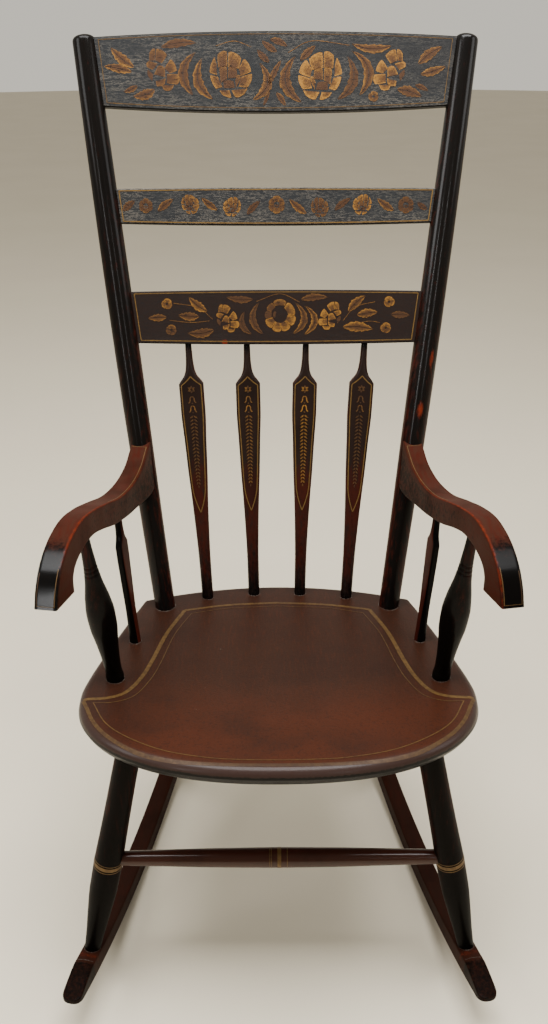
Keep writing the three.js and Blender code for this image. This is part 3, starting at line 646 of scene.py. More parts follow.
class SlatPlace:
    """Where a slat meets the posts, how it leans with them, and its outline."""

    def __init__(self, sizes, name):
        share, depth, arch, belly, thickness = SLATS[name]
        self.half_depth = depth / 2 * MM
        self.arch = arch * MM
        self.belly = belly * MM
        self.half_thickness = thickness / 2 * MM
        self.centre = sizes.seat_height + share * sizes.post_height - self.half_depth
        at, tangent, self.radius = post_at(sizes, 1, self.centre)
        self.half_span = at[0]
        self.back = at[1]
        self.rake = math.atan2(tangent[1], tangent[2])
        self.bow = sizes.slat_bow

    def bow_share(self, x):
        """Share of the bow at a place across: one less the square of x over the half span."""
        return 1 - (x / self.half_span) ** 2

    def top(self, x):
        """Height of the arched top edge over the slat's middle."""
        return self.half_depth + self.arch * self.bow_share(x)

    def bottom(self, x):
        """Height of the bellied bottom edge, below nought."""
        return -self.half_depth - self.belly * self.bow_share(x)

    def place(self, x, y, z):
        """Turns the slat's own frame back by the rake, and puts it between the posts."""
        y, z = leaned_back(y, z, self.rake)
        return np.stack([x + 0 * y, self.back + y, self.centre + z], -1)

    def face(self, patch, lift):
        """Points on the slat's bowed front face, lifted forwards."""
        x, z = patch[..., 0], patch[..., 1]
        return self.place(x, self.bow * self.bow_share(x) - self.half_thickness - lift, z)


# Stencils and stripes as patches on a surface


def ribbon(path, width, step):
    """A strip along a path of places: each row runs across it, square to the path."""
    spine = evenly(np.array(path, float), step)
    return spine[:, None, :] + square_to(spine)[:, None, :] * (STRIP * width)[None, :, None]


def leaf_halves(base, tip, width, bend, lobes):
    """A leaf on a bent spine: half width follows a sine along it, notched lobes times by a saw,
    and a fine vein parts its halves. Yields each half with its brightness, most at the edges."""
    base, tip = np.array(base, float), np.array(tip, float)
    chord = tip - base
    normal = np.array([-chord[1], chord[0]]) / np.linalg.norm(chord)
    at = np.linspace(0, 1, 33)
    # A quadratic curve passes its middle at half its swing
    spine = bezier(base, (base + tip) / 2 + 2 * bend * normal, tip, at)
    across = square_to(spine)
    saw = 1 - 0.26 * (at * lobes % 1)
    half = 0.6 * width * np.sin(np.pi * at**0.85) ** 0.9 * saw
    vein = 0.02 * width + 0.08 * MM
    out = np.linspace(0, 1, 6)[None, :]
    for side, tone in ((1, 1.0), (-1, 0.8)):
        reach = out * np.maximum(half - vein, 0.02 * MM)[:, None] + vein
        patch = spine[:, None, :] + side * reach[..., None] * across[:, None, :]
        ends = 0.7 + 0.3 * np.abs(2 * at[:, None] - 1)
        yield patch, tone * ends * (0.3 + 0.7 * out**1.6)


def fan_petal(row, v, u):
    """A petal between two angles and two radii: its outer edge falls off by the fourth power
    towards the sides, which stop short by a fine gap."""
    from_angle, to_angle, inner, outer, _ = row
    half = math.radians(to_angle - from_angle) / 2
    middle = math.radians(from_angle + to_angle) / 2
    outline = outer * (1 - 0.1 * v**4)
    spread = inner + (outline - inner) * u
    angle = middle + v * half
    return np.stack([np.cos(angle), np.sin(angle)], -1) * spread[..., None]


def drawn_petal(row, v, u):
    """A petal between four corners, blended bilinearly: its outer corners are drawn in by the
    sixth power and its outer edge swells by one less the square."""
    corners = np.array(row[:8]).reshape(4, 2)
    share = (0.5 + 0.5 * v * (1 - 0.08 * u**6))[..., None]
    inner = corners[0] + (corners[3] - corners[0]) * share
    outer = corners[1] + (corners[2] - corners[1]) * share
    swell = (u * (1 + 0.16 * (1 - v**2)))[..., None]
    return inner + (outer - inner) * swell


def petal(middle, radius, way, row):
    """One petal of a flower as a patch of places, with its brightness, most at its edges."""
    u, v = np.meshgrid(np.linspace(0, 1, 8), np.linspace(-1, 1, 11), indexing="ij")
    made = (fan_petal if len(row) == 5 else drawn_petal)(row, v, u)
    shrink = 1.1 - 0.3 * MM / (radius * 0.3)
    centre = made.mean((0, 1))
    place = (centre + (made - centre) * shrink) * radius * [way, 1]
    light = row[-1] * (0.34 + 0.66 * np.maximum(np.abs(v) ** 3, u**1.8))
    return np.array(middle) + place, light


def stencil_leaves(film, surface, rows):
    """Leaves from rows of base, tip, width, bend and strength, each with five lobes a side."""
    for x0, z0, x1, z1, width, bend, strength in rows:
        base = np.array([x0, z0]) * MM
        tip = np.array([x1, z1]) * MM
        for patch, light in leaf_halves(base, tip, width * MM, bend * MM, lobes=5):
            film.lay(surface, patch, shade=strength * light)


def stencil_flowers(film, surface, rows):
    """Flowers from rows of middle, radius, way round, kind and strength."""
    for x, z, radius, way, kind, strength in rows:
        for row in PETALS[kind]:
            patch, light = petal((x * MM, z * MM), radius * MM, way, row)
            film.lay(surface, patch, shade=strength * light)


def stencil_arcs(film, surface, rows):
    """Thin lines of even width, bent through three places."""
    for row in rows:
        patch = ribbon(through(np.array(row) * MM, 21), 0.7 * MM, 2 * MM)
        film.lay(surface, patch, shade=0.45)


def slat_border(film, place, inset, width):
    """A thin gold frame that follows the slat's arched top, bowed bottom and sloping ends."""
    top_inset, side_inset, bottom_inset = (size * MM for size in inset)
    foot = place.half_span - place.radius - side_inset
    spread = 0.11 * place.half_depth
    x = np.linspace(-foot - spread, foot + spread, 41)
    top = np.stack([x, place.top(x) - top_inset], 1)
    x = np.linspace(foot - spread, -foot + spread, 41)
    bottom = np.stack([x, place.bottom(x) + bottom_inset], 1)
    corners = [top[0], top[-1], bottom[0], bottom[-1], top[0]]
    paths = (top, np.array(corners[1:3]), bottom, np.array(corners[3:]))
    for path, shade in zip(paths, (0.7, 0.85, 0.8, 0.85)):
        film.lay(place.face, ribbon(path, width, 6 * MM), shade=shade * width / MM)


# Materials

BLACK_PAINT = "varnished_black_paint"
SPINDLE_PAINT = "spindle_brown_black_paint"
STRETCHER_PAINT = "stretcher_red_brown_paint"
ARM_PAINT = "arm_red_brown_paint"
ROCKER_PAINT = "rocker_brown_paint"
SLAT_GROUND = "crackled_slat_ground"
SEAT_PAINT = "plank_seat_paint"
BRONZE = "bronze_powder_stencil"
STRIPING = "ochre_striping"
DUST = "settled_dust"
RANGE = "ShaderNodeMapRange"
MIX = "ShaderNodeMix"
MATH = "ShaderNodeMath"


def add_node(tree, kind, inputs=None, take=0, **settings):
    """Adds one node with its settings, and its inputs as values or links. Returns the output
    that the next node takes."""
    made = tree.nodes.new(kind)
    for key, value in settings.items():
        setattr(made, key, value)
    for key, value in (inputs or {}).items():
        socket = made.inputs[key]
        if isinstance(value, bpy.types.NodeSocket):
            tree.links.new(value, socket)
        elif socket.type == "RGBA":
            socket.default_value = (*value[:3], 1)
        else:
            socket.default_value = value
    return made.outputs[take] if made.outputs else None


def patterns(tree, *rows):
    """Noises on the piece's own coordinates. Each row is the size of a feature across, back and
    up in millimetres, then the detail and the roughness. The scale is one over the size."""
    place = add_node(tree, "ShaderNodeTexCoord", take="Object")
    for size, detail, roughness in rows:
        scale = tuple(1 / (side * MM) for side in size)
        scaled = add_node(tree, "ShaderNodeMapping", {"Vector": place, "Scale": scale})
        inputs = {"Vector": scaled, "Scale": 1, "Detail": detail, "Roughness": roughness}
        yield add_node(tree, "ShaderNodeTexNoise", inputs)


def broken_up(tree, name, pattern, operation="ADD"):
    """An attribute of the piece joined with a pattern, so that what it marks has a ragged edge."""
    mark = add_node(tree, "ShaderNodeAttribute", take="Fac", attribute_name=name)
    return add_node(tree, MATH, {0: mark, 1: pattern}, operation=operation)


def lay_colours(tree, ground, rows):
    """Lays colours over a ground in turn. Each row is a mask, the two levels between which the
    colour smoothly comes in, the most of it, and the colour."""
    for mask, low, high, most, paint in rows:
        inputs = {0: mask, 1: low, 2: high, 4: most}
        factor = add_node(tree, RANGE, inputs, interpolation_type="SMOOTHSTEP")
        ground = add_node(tree, MIX, {0: factor, 6: ground, 7: paint}, 2, data_type="RGBA")
    return ground


def finish_material(tree, paint, matt, height, bump, settings):
    """Shader with its colour, roughness and bump linked, and all that is even set on it. The
    roughness goes between two levels as a pattern goes from low to high."""
    pattern, least, most = matt
    roughness = add_node(tree, RANGE, {0: pattern, 1: 0.3, 2: 0.7, 3: least, 4: most})
    relief = {"Height": height, "Strength": bump, "Distance": 0.4 * MM}
    normal = add_node(tree, "ShaderNodeBump", relief)
    inputs = {"Base Color": paint, "Roughness": roughness, "Normal": normal, **settings}
    shader = add_node(tree, "ShaderNodeBsdfPrincipled", inputs)
    add_node(tree, "ShaderNodeOutputMaterial", {"Surface": shader})


def new_material(name):
    """A material with an empty node tree. Returns the tree."""
    material = bpy.data.materials.new(name)
    material.use_nodes = True
    material.node_tree.nodes.clear()
    return material.node_tree


def shaded(paint, share):
    """A colour made darker: each part of it times the share."""
    return tuple(share * c for c in paint)


def old_paint(name, paints, top, grain, show):
    """Old oil paint under what is left of its varnish. Streaks along the grain, and bare layers,
    let the red first coat show, clouds darken it, black paint and painted shade (a copy of the
    black darkened to less than half) and specks blacken it, rubbed places turn bright red, and it
    shines only where the gloss is left."""
    tree = new_material(name)
    sizes = (grain, 5, 0.65), ((40, 40, 80), 3, 0.5), ((4, 4, 6), 5, 0.75)
    streaks, clouds, speckle = patterns(tree, *sizes)
    bare = add_node(tree, "ShaderNodeAttribute", take="Fac", attribute_name="bare")
    thin = add_node(tree, MATH, {0: bare, 1: 0.45, 2: streaks}, operation="MULTIPLY_ADD")
    rows = (
        (thin, 0.6, 1.0, show, paints.under),
        (clouds, 0.48, 0.72, 0.5, shaded(top, 0.5)),
        # Black paint, and painted shade: the black darkened to less than half where this mark is
        # high
        (broken_up(tree, "soot", speckle), 0.8, 1.25, 1, shaded(paints.black, 0.45)),
        (broken_up(tree, "specks", speckle), 0.98, 1.06, 0.9, shaded(paints.black, 0.6)),
        (broken_up(tree, "rub", speckle), 0.95, 1.5, 0.85, paints.rubbed),
    )
    paint = lay_colours(tree, top, rows)
    height = add_node(tree, MATH, {0: streaks, 1: speckle}, operation="ADD")
    gloss = add_node(tree, "ShaderNodeAttribute", take="Fac", attribute_name="gloss")
    settings = {"Coat Weight": gloss, "Coat Roughness": 0.17, "Specular IOR Level": 0.02}
    finish_material(tree, paint, (clouds, 0.4, 0.5), height, 0.25, settings)


def crackled_paint(name, paints):
    """Blue-black ground under old varnish. The more it has aged, the more dusty cracks run across
    it: the places where a long flat noise passes its middle. Less aged, it is brown. A pale line of
    dust and painted highlight runs along its top arris, and its edges are black. Real cracks stand
    1 mm apart, and these 3 mm, or they would not show."""
    tree = new_material(name)
    sizes = ((15, 15, 3), 5, 0.7), ((5, 5, 2), 4, 0.7), ((60, 60, 30), 3, 0.55)
    cracks, fine, clouds = patterns(tree, *sizes)
    off = add_node(tree, MATH, {0: cracks, 1: 0.5}, operation="SUBTRACT")
    off = add_node(tree, MATH, {0: off}, operation="ABSOLUTE")
    line = add_node(tree, RANGE, {0: off, 1: 0.04, 2: 0})
    patchy = add_node(tree, RANGE, {0: clouds, 1: 0.34, 2: 0.64, 3: 0.25, 4: 1})
    line = add_node(tree, MATH, {0: line, 1: patchy}, operation="MULTIPLY")
    age = add_node(tree, "ShaderNodeAttribute", take="Fac", attribute_name="age")
    rows = (
        (age, 0, 1, 1, paints.slat),
        (fine, 0.5, 0.36, 0.45, shaded(paints.slat, 0.5)),
        (broken_up(tree, "age", line, "MULTIPLY"), 0, 1, 0.6, paints.dust),
        # Pale line on the top arris: dust, and painted highlight
        (broken_up(tree, "arris_dust_and_highlight", fine), 1.0, 1.4, 0.75, paints.dust),
        (broken_up(tree, "soot", fine), 0.9, 1.3, 1, paints.black),
        (broken_up(tree, "rub", fine), 0.9, 1.2, 0.9, paints.rubbed),
    )
    paint = lay_colours(tree, paints.slat_brown, rows)
    settings = {"Coat Weight": 0.04, "Coat Roughness": 0.3, "Specular IOR Level": 0.08}
    finish_material(tree, paint, (cracks, 0.45, 0.6), cracks, 0.5, settings)


def seat_paint(name, paints):
    """Red-brown oil paint on the plank: dark clouds where it was sat on, warmer towards the front,
    fine cracks along the grain, a rolled rim in purple-brown paint, lighter partly as a painted
    highlight where it takes the light, and black below it."""
    tree = new_material(name)
    sizes = ((150, 110, 110), 4, 0.55), ((3, 24, 3), 5, 0.65), ((4, 4, 4), 5, 0.75)
    clouds, grain, fine = patterns(tree, *sizes)
    (specks,) = patterns(tree, ((8, 8, 8), 2, 0.5))
    warm = add_node(tree, RANGE, {0: clouds, 1: 0.62, 2: 0.4, 3: 0.5, 4: 1})
    rows = (
        (broken_up(tree, "warm", warm, "MULTIPLY"), 0, 1, 1, paints.seat_warm),
        (clouds, 0.5, 0.7, 0.38, paints.seat_cloud),
        (grain, 0.48, 0.7, 0.4, paints.seat_warm),
        (fine, 0.5, 0.34, 0.55, paints.seat_cloud),
        # Purple-brown rim paint, lighter than the seat partly as a painted highlight on the roll
        (broken_up(tree, "rim", fine), 0.9, 1.5, 1, paints.rim),
        (broken_up(tree, "soot", fine), 1.0, 1.4, 1, shaded(paints.black, 0.6)),
        (specks, 0.785, 0.8, 0.8, paints.dust),
    )
    paint = lay_colours(tree, paints.seat, rows)
    height = add_node(tree, MATH, {0: grain, 1: fine}, operation="ADD")
    gloss = add_node(tree, "ShaderNodeAttribute", take="Fac", attribute_name="gloss")
    settings = {"Coat Weight": gloss, "Coat Roughness": 0.26, "Specular IOR Level": 0.1}
    finish_material(tree, paint, (clouds, 0.36, 0.46), height, 0.5, settings)


def bronze_stencil(name, paints):
    """Bronze powder rubbed through a stencil on tacky varnish: a dry metallic bloom, brightest
    where most powder lay, brown where it was shaded off or has worn through."""
    tree = new_material(name)
    sizes = ((3.5, 3.5, 2.2), 5, 0.7), ((7, 7, 2), 5, 0.7)
    powder, lost = patterns(tree, *sizes)
    laid = add_node(tree, RANGE, {0: powder, 1: 0.3, 2: 0.62, 3: 0.4, 4: 1.15})
    thin = add_node(tree, RANGE, {0: lost, 1: 0.5, 2: 0.62})
    rows = (
        (broken_up(tree, "shade", laid, "MULTIPLY"), 0.12, 0.85, 1, paints.bronze),
        (broken_up(tree, "shade", thin, "SUBTRACT"), -0.25, -0.75, 0.85, paints.slat_brown),
    )
    paint = lay_colours(tree, paints.bronze_dull, rows)
    settings = {"Metallic": 0.25, "Specular IOR Level": 0.2}
    finish_material(tree, paint, (powder, 0.42, 0.6), powder, 0.2, settings)


def striping(name, paints):
    """Ochre striping laid with a long brush, thin and brown where its shade is low."""
    tree = new_material(name)
    (rubbed,) = patterns(tree, ((7, 7, 7), 5, 0.7))
    kept = add_node(tree, RANGE, {0: rubbed, 1: 0.66, 2: 0.4, 3: 0.55, 4: 1})
    rows = ((broken_up(tree, "shade", kept, "MULTIPLY"), 0, 1, 1, paints.stripe),)
    paint = lay_colours(tree, paints.seat, rows)
    settings = {"Metallic": 0.15, "Specular IOR Level": 0.25}
    finish_material(tree, paint, (rubbed, 0.42, 0.56), rubbed, 0.15, settings)


def settled_dust(name, paints):
    """Dust settled where a turned foot meets a flat: matt, and broken up by the seat's brown."""
    tree = new_material(name)
    (broken,) = patterns(tree, ((2.5, 2.5, 2.5), 4, 0.7))
    paint = lay_colours(tree, paints.seat, ((broken, 0.42, 0.66, 0.55, paints.dust),))
    finish_material(tree, paint, (broken, 0.7, 0.9), broken, 0.3, {"Specular IOR Level": 0.2})


def prepare(context):
    """Makes the chair's materials if they aren't there yet, and returns the chair's sizes."""
    paints = context.scene.chair_paints
    if BLACK_PAINT not in bpy.data.materials:
        upright, level, lengthways = (4, 4, 50), (50, 4, 4), (5, 40, 6)
        old_paint(BLACK_PAINT, paints, paints.black, upright, 1)
        old_paint(SPINDLE_PAINT, paints, paints.slat_brown, upright, 0.9)
        old_paint(STRETCHER_PAINT, paints, paints.red_brown, level, 0.7)
        old_paint(ARM_PAINT, paints, paints.red_brown, lengthways, 0.9)
        old_paint(ROCKER_PAINT, paints, shaded(paints.red_brown, 0.55), lengthways, 0.5)
        crackled_paint(SLAT_GROUND, paints)
        seat_paint(SEAT_PAINT, paints)
        bronze_stencil(BRONZE, paints)
        striping(STRIPING, paints)
        settled_dust(DUST, paints)
    return context.scene.chair_sizes


# Pieces


def edge_distance(outline, x, y):
    """Least distance from each place to the closed outline's straight pieces."""
    start = outline
    run = np.roll(outline, -1, axis=0) - start
    place = np.stack([x, y], -1)[..., None, :]
    share = ((place - start) * run).sum(-1) / (run**2).sum(-1)
    nearest = start + np.clip(share, 0, 1)[..., None] * run
    return np.linalg.norm(place - nearest, axis=-1).min(-1)


class SeatShape:
    """The plank seat's outline, rolled rim and shallow dish, as it lies flat."""

    # Where it is widest, its rear corner, and where the rear edge's curve begins
    widest_back = 165 * MM
    corner = np.array([206, 374]) * MM
    cut = np.array([197, 406]) * MM
    # How far the edge is cut back below, and how wide its roll is, at the front and at the rear
    undercut = (27 * MM, 9 * MM)
    roll = (14 * MM, 5 * MM)
    roll_drop = 7 * MM
    dish_back = 248 * MM
    dish_radius = 190 * MM
    dish_depth = 8 * MM

    def __init__(self, sizes):
        self.sizes = sizes
        width = sizes.seat_half_width
        depth = sizes.seat_depth
        widest = np.array([width, self.widest_back])
        corner, cut = self.corner, self.cut
        # The front is half of a superellipse of exponent 2.3
        turn = np.linspace(0, np.pi / 2, 90)
        power = 2 / 2.3
        run_back = self.widest_back * (1 - np.cos(turn) ** power)
        front = np.stack([width * np.sin(turn) ** power, run_back], 1)
        swing = np.array([width, widest[1] + 0.17 * (corner[1] - widest[1])])
        side = bezier(widest, swing, corner, np.linspace(0, 1, 40))
        rear_swing = np.array([0.5 * cut[0], depth])
        rear = bezier(cut, rear_swing, np.array([0, depth]), np.linspace(0, 1, 40))
        half = np.concatenate([front, side[1:], rear])
        mirrored = half[::-1][1:-1] * [-1, 1]
        closed = np.concatenate([half, mirrored, half[:1]])
        self.outline = evenly(closed, 4.5 * MM)[:-1]

    def between(self, amounts, y):
        """Passes from the amount at the front to that at the rear, by a power of the way left."""
        front, rear = amounts
        return rear + (front - rear) * np.maximum(0, 1 - y / self.sizes.seat_depth) ** 0.7

    def inset(self, amounts, share=1):
        """The outline moved inwards by a share of an amount that changes from front to rear."""
        around = np.roll(self.outline, 1, axis=0) - np.roll(self.outline, -1, axis=0)
        inward = unit(np.stack([around[:, 1], -around[:, 0]], 1))
        distance = share * self.between(amounts, self.outline[:, 1])
        return self.outline + inward * distance[:, None]

    def top(self, x, y):
        """Height over the flat plank: less the dish, whose depth falls off as the square of one
        less q, and less the rim's roll by the distance to the edge."""
        q = (x / self.dish_radius) ** 2 + ((y - self.dish_back) / self.dish_radius) ** 2
        dish = self.dish_depth * (1 - np.minimum(q, 1)) ** 2
        share = edge_distance(self.outline, x, y) / self.between(self.roll, y)
        return -dish - self.roll_drop * smooth(SEAT_ROLL, np.clip(share, ROLL_EDGE, 1))

    def tilt(self, x, y, z):
        """Turns the flat plank down towards the back about its front edge."""
        y, z = leaned_back(y, z, self.sizes.seat_tilt)
        return np.stack([x, y, z + self.sizes.seat_height], -1)

    def surface(self, patch, lift):
        """Points on the seat's top, at places across and back on the flat plank."""
        x, y = patch[..., 0], patch[..., 1]
        return self.tilt(x, y, self.top(x, y) + lift)


class PlankSeat(Operator):
    """Makes the plank seat: rings of its outline moved in and down, round the undercut edge and
    the rolled rim, and then drawn in to the middle of the dished top"""

    bl_idname = "chair.plank_seat"
    bl_label = "Plank seat"

    def execute(self, context):
        sizes = prepare(context)
        shape = SeatShape(sizes)
        rings = []
        # How much of each ring is rim paint, lighter partly as a painted highlight, and how much is
        # black
        marks = []

        def add_ring(ring, depth, rim, soot):
            """Adds the ring at a depth below the plank's flat top."""
            rings.append(shape.tilt(*ring.T, np.full(len(ring), -depth)))
            marks.append((rim, soot))

        # The flat underside, from its middle out
        under = shape.inset(shape.undercut)
        middle = np.array([0, 230 * MM])
        for share in (0.3, 0.6, 0.85):
            add_ring(middle + share * (under - middle), sizes.seat_thickness, 0.8, 1)
        # The black starts half way down the edge, and the cut below it has lost some
        black = (0.35, 0.42, 0.8, 0.9, 1), (1.3, 1, 1, 0.2, 0.6)
        for drop in np.linspace(1, 0.35, 16):
            ring = shape.inset(shape.undercut, smooth(SEAT_UNDERCUTS, drop))
            add_ring(ring, sizes.seat_thickness * drop, 1, float(np.interp(drop, *black)))
        for share in np.linspace(ROLL_EDGE, 1, 14):
            dip = shape.roll_drop * smooth(SEAT_ROLL, share)
            add_ring(shape.inset(shape.roll, share), dip, 1 - 0.85 * share**2, 0)
        rim = shape.inset(shape.roll)
        centre = np.array([0, shape.dish_back])
        for share in np.linspace(0.98, 0.02, 44):
            ring = centre + share * (rim - centre)
            add_ring(ring, -shape.top(*ring.T), 0.15 * share**8, 0)
        rings = np.array(rings)
        rims, black_and_shade_marks = np.array(marks).T[..., None]
        warm = bell(rings[..., 1] - 60 * MM, 110 * MM)
        gloss = 0.04 + 0.24 * rims * (1 - 0.75 * black_and_shade_marks)
        body = Body().loft(rings, rim=rims, warm=warm, soot=black_and_shade_marks, gloss=gloss)
        make_piece("plank_seat", body, SEAT_PAINT, "seat_plank", 60)
        return {"FINISHED"}


class SeatStriping(Operator):
    """Lays the seat's striping, a broad line and a fine one inside it, and the rings of dust
    round the feet that stand on it: strips along curves, and elliptic rings, on the seat's top"""

    bl_idname = "chair.seat_striping"
    bl_label = "Seat striping"

    def execute(self, context):
        sizes = prepare(context)
        shape = SeatShape(sizes)
        film = Film(sizes.film)
        for width, first, last, rows in SEAT_LINES:
            path = evenly(through(np.array(rows) * MM, 61), 3 * MM)
            shade = np.linspace(first, last, len(path))
            if 0 in (rows[0][0], rows[-1][0]):
                # A line that reaches the middle is mirrored into one with its other half
                turn = 1 if rows[0][0] == 0 else -1
                half, tone = path[::turn], shade[::turn]
                path = np.concatenate([half[::-1] * [-1, 1], half[1:]])
                shade = np.concatenate([tone[::-1], tone[1:]])
                self.line(film, shape, path, width * MM, shade)
            else:
                for side in SIDES.values():
                    self.line(film, shape, path * [side, 1], width * MM, shade)
            # Lines that cross at a corner lie a hair above each other
            film.lift += 0.01 * MM
        make_piece("seat_striping", film, STRIPING)
        rings = Film(sizes.film)
        angle = np.linspace(0, 2 * np.pi, 61)[:, None]
        for x, y, radius in self.feet(sizes):
            out = radius + np.array([-0.2, 0.4, 1.1]) * MM
            # No two rings are alike, and each is longer from front to back, as the feet lean
            wander = 1 + 0.04 * np.sin(3 * angle + x / MM)
            place = [x + out * wander * np.cos(angle), y + 1.06 * out * wander * np.sin(angle)]
            rings.lay(shape.surface, np.stack(place, -1))
        make_piece("seat_dust_rings", rings, DUST)
        return {"FINISHED"}

    def line(self, film, shape, path, width, shade):
        """A strip along a path, whose strength follows the shades spread over its length."""
        patch = ribbon(path, width, 3 * MM)
        at = np.linspace(0, 1, len(patch))
        tone = np.interp(at, np.linspace(0, 1, len(shade)), shade)
        film.lay(shape.surface, patch, shade=tone[:, None])

    def feet(self, sizes):
        """Place on the flat plank, and radius, of each foot that stands on the seat."""
        level = math.cos(sizes.seat_tilt)
        post = sizes.post_radius * POST_RADII[0][1]
        rows = [(*POST_FOOT, post / MM), (*ARM_POST[1:], ARM_POST_ROUND)]
        rows += [(*ARM_SPINDLE[1:], ARM_SPINDLE_ROUND)]
        rows += [(*place[1:], SPINDLE_ROUND) for place in SPINDLES]
        for x, back, radius in rows:
            for side in SIDES.values():
                yield side * x * MM, back / level * MM, radius * MM


class BackPosts(Operator):
    """Makes the bent back posts: circles square to a quadratic curve, whose radius follows a
    table of shares, and a superelliptic dome on the head"""

    bl_idname = "chair.back_posts"
    bl_label = "Back posts"
    dome_height = 9 * MM

    def execute(self, context):
        sizes = prepare(context)
        turn = turns(48)[None, :]
        for name, side in SIDES.items():
            foot, swing, head = post_curve(sizes, side)
            reach = np.linalg.norm(head - foot)
            share = np.linspace(0, 1 - self.dome_height / reach, 150)
            centres = bezier(foot, swing, head, share)
            tangents = unit((swing - foot) * (1 - share)[:, None] + (head - swing) * share[:, None])
            radii = sizes.post_radius * smooth(POST_RADII, share)
            # The dome rises from its edge to just short of its top, where the fan closes it
            rise = np.sin(np.linspace(0.1, np.pi / 2 * 0.98, 14))
            up = unit(head - swing)
            dome = head + up * (self.dome_height * (rise - 1))[:, None]
            dome_radii = sizes.post_radius * POST_RADII[-1][1] * (1 - rise**2.8) ** (1 / 2.2)
            centres = np.concatenate([centres[:1] - TUCK * tangents[:1], centres, dome])
            tangents = np.concatenate([tangents[:1], tangents, np.tile(up, (len(dome), 1))])
            radii = np.concatenate([radii[:1], radii, dome_radii])
            across = unit(np.cross([0, 1, 0], tangents))
            front = np.cross(tangents, across)
            ring = across[:, None] * np.cos(turn.T) + front[:, None] * np.sin(turn.T)
            rings = centres[:, None] + ring * radii[:, None, None]
            height = centres[:, 2:]
            low = np.interp(height, (0.55, 0.8, 1.1), (1, 0.7, 0.2))
            bare = low * (0.2 + 0.8 * np.abs(np.cos(turn)) ** 2)
            rub = self.rubbed(height, turn)
            if side > 0:
                # The right post has worn more, and is duller below the arm
                bare = 0.85 * bare
                gloss = 0.5 * np.interp(height, (0.55, 0.7), (0.35, 1))
            else:
                rub = 0.15 * rub
                bare = 0.7 * bare
                gloss = 0.3
            body = Body().loft(rings, rub=rub, bare=bare, gloss=gloss)
            replaced = f"{name}_back_post"
            make_piece(f"{name}_turned_post", body, BLACK_PAINT, replaced)
        return {"FINISHED"}

    def rubbed(self, height, turn):
        """Where hands have rubbed the post: bell-shaped spots below the lower slat, and a long
        faint one down its outer side."""
        front = 1.5 * np.pi
        # Height, turn, reach up and down, spread round the post, and strength
        spots = (
            (0.72, front + 0.45, 0.02, 0.26, 0.9),
            (0.652, front + 0.09, 0.015, 0.34, 1),
            (0.69, front + 1.1, 0.09, 0.3, 0.45),
        )
        total = 0
        for high, way, reach, spread, strength in spots:
            total = total + strength * (bell(height - high, reach) * bell(turn - way, spread))
        return total


class Slats(Operator):
    """Makes the crest rail and the two slats: rounded rectangles carried along a parabola that
    bows back between the posts, with an arched top edge and a bellied bottom edge"""

    bl_idname = "chair.slats"
    bl_label = "Slats"

    def execute(self, context):
        sizes = prepare(context)
        for name in SLATS:
            place = SlatPlace(sizes, name)
            end = place.half_span - 3 * MM
            x = np.linspace(-end, end, 97)
            top, bottom = place.top(x), place.bottom(x)
            half = (top - bottom) / 2
            thick = np.full(len(x), place.half_thickness)
            high, wide, corner = corner_section(half, thick, 1.8 * MM, 21)
            # A pale line of dust and painted highlight lies on the arris at the top of the front
            # face, and both edges are black
            arris_dust_and_highlight = corner * (wide < 0) * (high > 0) * (0.3 + 0.7 * AGES[name])
            on_edge = np.abs(high) > (half - 1.7 * MM)[:, None]
            front_arris = (high > 0) & (wide < 1.7 * MM - thick[0]) & (name != "crest_rail")
            soot = on_edge * np.where(front_arris, 0.3, 1.1)
            # Most cracks are on the left and low down
            worn = 1 - 0.25 * (x / end)[:, None]
            worn = worn + 0.5 * bell(high + half[:, None], 14 * MM)
            middle = ((top + bottom) / 2)[:, None]
            y = place.bow * place.bow_share(x)[:, None] + wide
            rings = place.place(np.broadcast_to(x[:, None], y.shape), y, middle + high)
            # A chip in the lower slat's bottom edge bares the red
            chip = bell(x + 71 * MM, 6 * MM)[:, None] * bell(high + half[:, None] - 2 * MM, 6 * MM)
            chip = chip * (wide < 0) * (name == "lower_slat")
            marks = {"age": AGES[name] * worn, "arris_dust_and_highlight": arris_dust_and_highlight, "soot": soot, "rub": 0.85 * chip}
            body = Body().loft(rings, **marks)
            make_piece(f"bowed_{name}", body, SLAT_GROUND, name, 50)
        return {"FINISHED"}


class Stencils(Operator):
    """Lays the bronze-powder stencils on the crest rail and slats: leaves whose half width
    follows a sine, petals between an inner and an outer edge, stems and a fine gold border"""

    bl_idname = "chair.stencils"
    bl_label = "Stencils"

    def execute(self, context):
        sizes = prepare(context)
        designs = {
            "crest_rail": (CREST_LEAVES, CREST_FLOWERS, CREST_ARCS, (4, 4, 5), 0.8),
            "middle_slat": (MIDDLE_LEAVES, MIDDLE_FLOWERS, (), (2.9, 3, 3), 1.4),
            "lower_slat": (LOWER_LEAVES, LOWER_FLOWERS, LOWER_ARCS, (3, 4, 4.2), 1.2),
        }
        for name, (leaves, flowers, arcs, inset, width) in designs.items():
            place = SlatPlace(sizes, name)
            film = Film(sizes.film)
            stencil_leaves(film, place.face, leaves)
            stencil_flowers(film, place.face, flowers)
            stencil_arcs(film, place.face, arcs)
            make_piece(f"{name}_stencil", film, BRONZE)
            border = Film(sizes.film)
            slat_border(border, place, inset, width * MM)
            make_piece(f"{name}_border", border, STRIPING)
        return {"FINISHED"}


